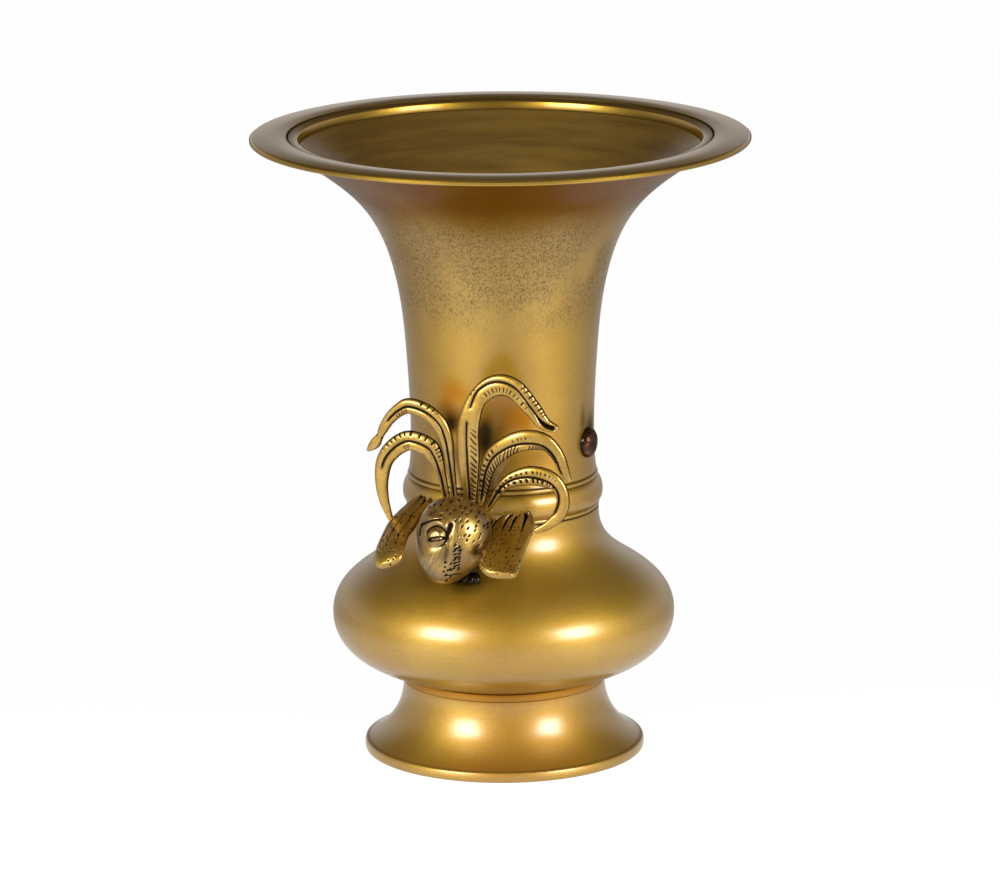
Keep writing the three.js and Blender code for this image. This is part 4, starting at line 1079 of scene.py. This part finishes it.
# Rows of chased strokes: from and to along the plume, from and to across it (1 is the outer edge),
# their spacing and width in mm, their slant and their depth.
PLUME_STROKES = {
    "plume_centre": [
        (0.06, 0.34, -0.85, -0.3, 1.7, 0.26, 0.7, 0.22),
        (0.46, 0.78, -0.6, -0.15, 2.2, 0.28, 0.0, 0.22),
        (0.67, 0.87, 0.5, 1.0, 2.0, 0.26, 0.0, 0.18),
        (0.43, 0.49, 0.75, 1.02, 2.0, 0.24, 0.0, 0.12),
    ],
    "plume_upper_left": [
        (0.34, 0.43, 0.5, 0.95, 1.7, 0.25, 0.0, 0.1),
        (0.46, 0.58, -0.8, -0.35, 1.3, 0.25, 0.0, 0.13),
    ],
    "plume_lower_left": [
        (0.22, 0.6, 0.5, 1.02, 2.0, 0.26, 0.0, 0.24),
        (0.42, 0.5, -0.75, -0.3, 1.1, 0.22, 0.0, 0.1),
    ],
    "plume_upper_right": [
        (0.38, 0.5, 0.1, 0.36, 1.6, 0.22, 0.0, 0.12),
        (0.05, 0.32, 0.25, 0.7, 1.7, 0.26, 0.0, 0.2),
        (0.05, 0.42, -0.95, -0.3, 1.5, 0.26, 0.9, 0.22),
        (0.46, 0.76, -1.0, -0.55, 1.1, 0.26, 0.6, 0.2),
    ],
    "plume_lower_right": [
        (0.1, 0.5, 0.25, 0.55, 1.6, 0.25, 0.0, 0.2),
        (0.1, 0.54, -0.68, -0.25, 2.1, 0.42, 0.0, 0.28),
    ],
}


def plume_strokes(strokes, t, away, run, half):
    """How much the chased strokes show at each place, from 0 to 1, and their depth in mm."""
    shown, depth = np.zeros_like(t), np.zeros_like(t)
    for start, end, low, high, spacing, width, slant, deep in strokes:
        at = run + 0.22 * np.sin(1.1 * run) + slant * np.abs(away) * half
        off = np.abs((at / spacing + 0.5) % 1 - 0.5) * spacing
        window = smooth(t, start, start + 0.02) * (1 - smooth(t, end - 0.02, end))
        band = smooth(away, low - 0.06, low + 0.06) * (1 - smooth(away, high - 0.06, high + 0.06))
        stroke = np.exp(-((off / width) ** 2)) * window * band
        shown = np.maximum(shown, stroke)
        depth = np.maximum(depth, stroke * deep)
    return shown, depth


def add_plume(node, material):
    """A curled strap, flat behind, with a groove, chased strokes and dark edges in front."""
    outer, groove_end = PLUME_TRAITS[node]
    coarse = spline(PLUMES[node], np.linspace(0, 1, 200))
    length = np.linalg.norm(np.diff(place(coarse[:, :3]), axis=0), axis=1).sum()
    share = np.linspace(0, 1, int(length / PLUME_RING_GAP))
    path = spline(PLUMES[node], share)
    middle = place(path[:, :3] + np.array([0, 0, PLUME_ROOTS]))
    half = path[:, 3]
    along = unit(np.gradient(middle, axis=0))
    out = np.array([0.0, -1.0, 0.0])
    outwards = unit(out - along * (along @ out)[:, None])
    across = unit(np.cross(along, outwards))
    thick = np.minimum(PLUME_THICKNESS, 2 * half) / 2 + 0.25 * PLUME_THICKNESS
    t, phi = grid(share, PLUME_ROUND)
    s = -np.cos(phi)
    facing = np.sin(phi) > 0
    lift = np.clip(1 - s**4, 0, 1) ** 0.5
    half_here, thick_here = half[:, None], thick[:, None]
    s_mm = s * half_here
    groove_share = smooth(t, 0.01, 0.06) * (1 - smooth(t, groove_end - 0.06, groove_end))
    course = np.array(GROOVE_COURSE.get(node, [(0, 0), (1, 0)]))
    groove_at = outer * np.interp(t, course[:, 0], course[:, 1]) * half_here
    wedge = np.zeros_like(t)
    if node == "plume_centre":
        # This groove breaks off once, and opens to a wedge at the tip.
        groove_share *= 1 - smooth(t, 0.34, 0.36) * (1 - smooth(t, 0.39, 0.41))
        opening = LINE_WIDTH + 0.6 * smooth(t, 0.82, 0.91)
        wedge = np.exp(-((s_mm / opening) ** 4)) * smooth(t, 0.82, 0.86) * (1 - smooth(t, 0.955, 0.985))
    valley = dip(s_mm, groove_at, 0.85) * groove_share
    line = dip(s_mm, groove_at, LINE_WIDTH) * groove_share
    run = t * length
    shown, depth = plume_strokes(PLUME_STROKES[node], t, outer * s, run, half_here)
    front = 0.5 * thick_here * lift - 0.3 * valley - 0.5 * line - 1.1 * wedge - depth
    back = -0.42 * thick_here * np.abs(np.sin(phi)) ** 0.75
    height = np.where(facing, front, back)
    tip = round_end((1 - share) * length / np.maximum(half, 0.4))
    root = round_end(share * length / half)
    close = (0.08 + 0.92 * tip * root)[:, None]
    rings = rings_about(middle, (across, s_mm * close), (outwards, height * close))
    # The dark edges are partly dirt and partly painted shade.
    edge = smooth(np.abs(s), 0.9, 0.99)
    root_film = 0.22 * (1 - smooth(t, 0.0, 0.3))
    grime_and_shade = 1.1 * (line + shown + wedge) + 0.2 * valley + 0.85 * edge + root_film
    if node == "plume_upper_left":
        # A dark nick lies across its edges, where the tip begins.
        grime_and_shade += 0.9 * dip(run, 0.765 * length, 0.8) * smooth(np.abs(s), 0.35, 0.7)
    grime_and_shade = np.append(np.where(facing, grime_and_shade, BACK_SHADE).ravel(), [0.9, 0.2])
    make_piece(node + "_cast", node, "cast_brass", material, *closed_loft(rings), grime_and_shade, crease=180)


# Body and claws

BODY_MIDDLE = (-2.0, -13.5, 6.5)
BODY_HALF = (10.0, 10.0, 12.0)
BODY_RISE = 80
BODY_ROUND = 120
CLAW_ASIDE = -1.5
CLAW_SPREAD = 4.0
CLAW_OUT = 8.5
CLAW_LEVEL = 79.6


def add_body(material):
    """An egg with faint scales, painted dark as shade; the head, wings and plumes hide most of it."""
    rise, turn = grid(np.linspace(0, math.pi, BODY_RISE + 2)[1:-1], BODY_ROUND)
    ball = np.stack([np.sin(rise) * np.cos(turn), np.sin(rise) * np.sin(turn), np.cos(rise)], axis=-1)
    scales = np.abs(np.sin(7 * turn + 3 * (np.floor(rise * 6) % 2))) * np.abs(np.sin(6 * rise))
    grown = ball * np.array(BODY_HALF) * (1 + 0.02 * scales[..., None])
    loft = closed_loft(place(BODY_MIDDLE) + grown)
    # The body is painted dark as shade, a little lighter on its scales.
    grime_and_shade = np.append((0.45 - 0.25 * scales).ravel(), [0.4, 0.4])
    make_piece("bird_body_cast", "bird_body", "cast_brass", material, *loft, grime_and_shade, crease=180)


def limb(route, radii, rings=24, around=20):
    """A tapering round limb along a route, with blunt ends."""
    share = np.linspace(0, 1, rings)
    path = spline(np.hstack([place(route), np.array(radii, float)[:, None]]), share)
    middle, radius = path[:, :3], path[:, 3].copy()
    radius *= np.sqrt(np.clip(1 - np.abs(2 * share - 1) ** 14, 0.02, 1))
    along = unit(np.gradient(middle, axis=0))
    first = unit(np.cross(along, np.array([0.3, 0.2, 0.93])))
    second = np.cross(along, first)
    wide, turn = grid(radius, around)
    return rings_about(middle, (first, wide * np.cos(turn)), (second, wide * np.sin(turn)))


def add_claw(node, side, material):
    """A leg with three toes; side is -1 for the left claw."""
    x = CLAW_ASIDE + side * CLAW_SPREAD
    level = CLAW_LEVEL - COLLAR_TOP
    leg = [(x - 0.4 * side, level + 12, CLAW_OUT - 1), (x, level + 7, CLAW_OUT), (x, level + 2.4, CLAW_OUT)]
    lofts = [closed_loft(limb(leg, [2.0, 1.8, 2.0]))]
    for spread in (-3.0, 0.0, 3.0):
        route = [
            (x, level + 2.8, CLAW_OUT),
            (x + 0.6 * spread, level + 2.6, CLAW_OUT + 2.4),
            (x + spread, level + 0.4, CLAW_OUT + 4.4 - 0.3 * abs(spread)),
        ]
        lofts.append(closed_loft(limb(route, [1.5, 1.7, 0.9])))
    make_piece(node + "_cast", node, "dark_brass", material, *joined(lofts), crease=180)


# Rivet

RIVET_AZIMUTH = math.radians(83.5)
RIVET_LEVEL = 128.1
RIVET_SEAT = 36.9
RIVET_RADIUS = 6.0
RIVET_ROUND = 72


def add_rivet(material):
    """A domed head with a low ring round it, turned about an axis that points out of the neck."""
    profile = rounded([(0, -1, 0), (RIVET_RADIUS, -1, 0), (RIVET_RADIUS, 0.9, 0.5), (5.2, 1.0, 0.2)], 4)[1:]
    profile += bezier((4.95, 0.75), (4.8, 2.2), (2.9, 3.1), (0.02, 3.1), 16)
    path = np.array([(0.02, -1.0)] + profile)
    radius, turn = grid(path[:, 0], RIVET_ROUND)
    out = np.array([math.sin(RIVET_AZIMUTH), -math.cos(RIVET_AZIMUTH), 0])
    aside = np.array([math.cos(RIVET_AZIMUTH), math.sin(RIVET_AZIMUTH), 0])
    up = np.array([0.0, 0, 1])
    middle = out * RIVET_SEAT + up * RIVET_LEVEL + path[:, 1:] * out
    sides = [np.tile(direction, (len(path), 1)) for direction in (aside, up)]
    rings = rings_about(middle, (sides[0], radius * np.cos(turn)), (sides[1], radius * np.sin(turn)))
    grime_and_shade = np.append((dip(radius, 4.7, 0.5) + smooth(radius, 5.0, 5.5)).ravel(), [0, 0])
    make_piece("side_rivet_head", None, "copper", material, *closed_loft(rings), grime_and_shade, crease=50)


def dress(node, material):
    """Gives a carried-over node its procedural finish."""
    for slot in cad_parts[node].material_slots:
        slot.material = material


add_camera()
add_world()
add_floor()
add_soft_box("soft_box_left", -43, 23, 1.3, 0.55, 20.0)
add_soft_box("soft_box_right", 50.5, 21, 1.4, 0.55, 20.0)

turned = turned_brass("turned brass")
rim_look = {"roughness": 0.27, "coat": 0.65, "coat_roughness": 0.14, "edge_tint": RIM_EDGE_TINT}
turned_rim = turned_brass("turned brass rim", **rim_look)
turned_foot = turned_brass("turned brass foot", warm=0.55)
turned_neck = turned_brass("turned brass neck", speckle=0.6, warm=0.45)
# The inside is painted brown, partly as tarnish and partly as shade.
dull_shaded_inside = turned_brass("dull brass inside", warm=0.5, dull_and_shade=0.68, roughness=0.55)
cast = cast_brass("cast brass")
claw_metal = dark_metal("dark brass", SOOT_AND_SHADE, DARK_PATINA_AND_SHADE, 0.3)
rivet_metal = dark_metal("copper", COPPER, WORN_COPPER, 0.26)

add_foot(turned_foot)
add_belly(turned)
add_collar(turned)
add_neck(turned_neck, dull_shaded_inside)
add_rim(turned_rim)
add_mouth_ring(turned_rim)
add_head(cast)
add_wing("right_wing", RIGHT_WING, cast, RIGHT_GAPS, groove_from=0.5, seed=11)
add_wing("left_wing", LEFT_WING, cast, LEFT_GAPS, groove_from=0.2, seed=12, stay=LEFT_STAY)
for plume in PLUMES:
    add_plume(plume, cast)
add_body(cast)
add_claw("left_claw", -1, claw_metal)
add_claw("right_claw", 1, claw_metal)
add_rivet(rivet_metal)
for node in ("side_rivet", "rivet_rove"):
    dress(node, rivet_metal)
for node in ("base_disc", "bird_stud", "stud_rove"):
    dress(node, claw_metal)

bpy.context.scene.view_settings.view_transform = "Standard"
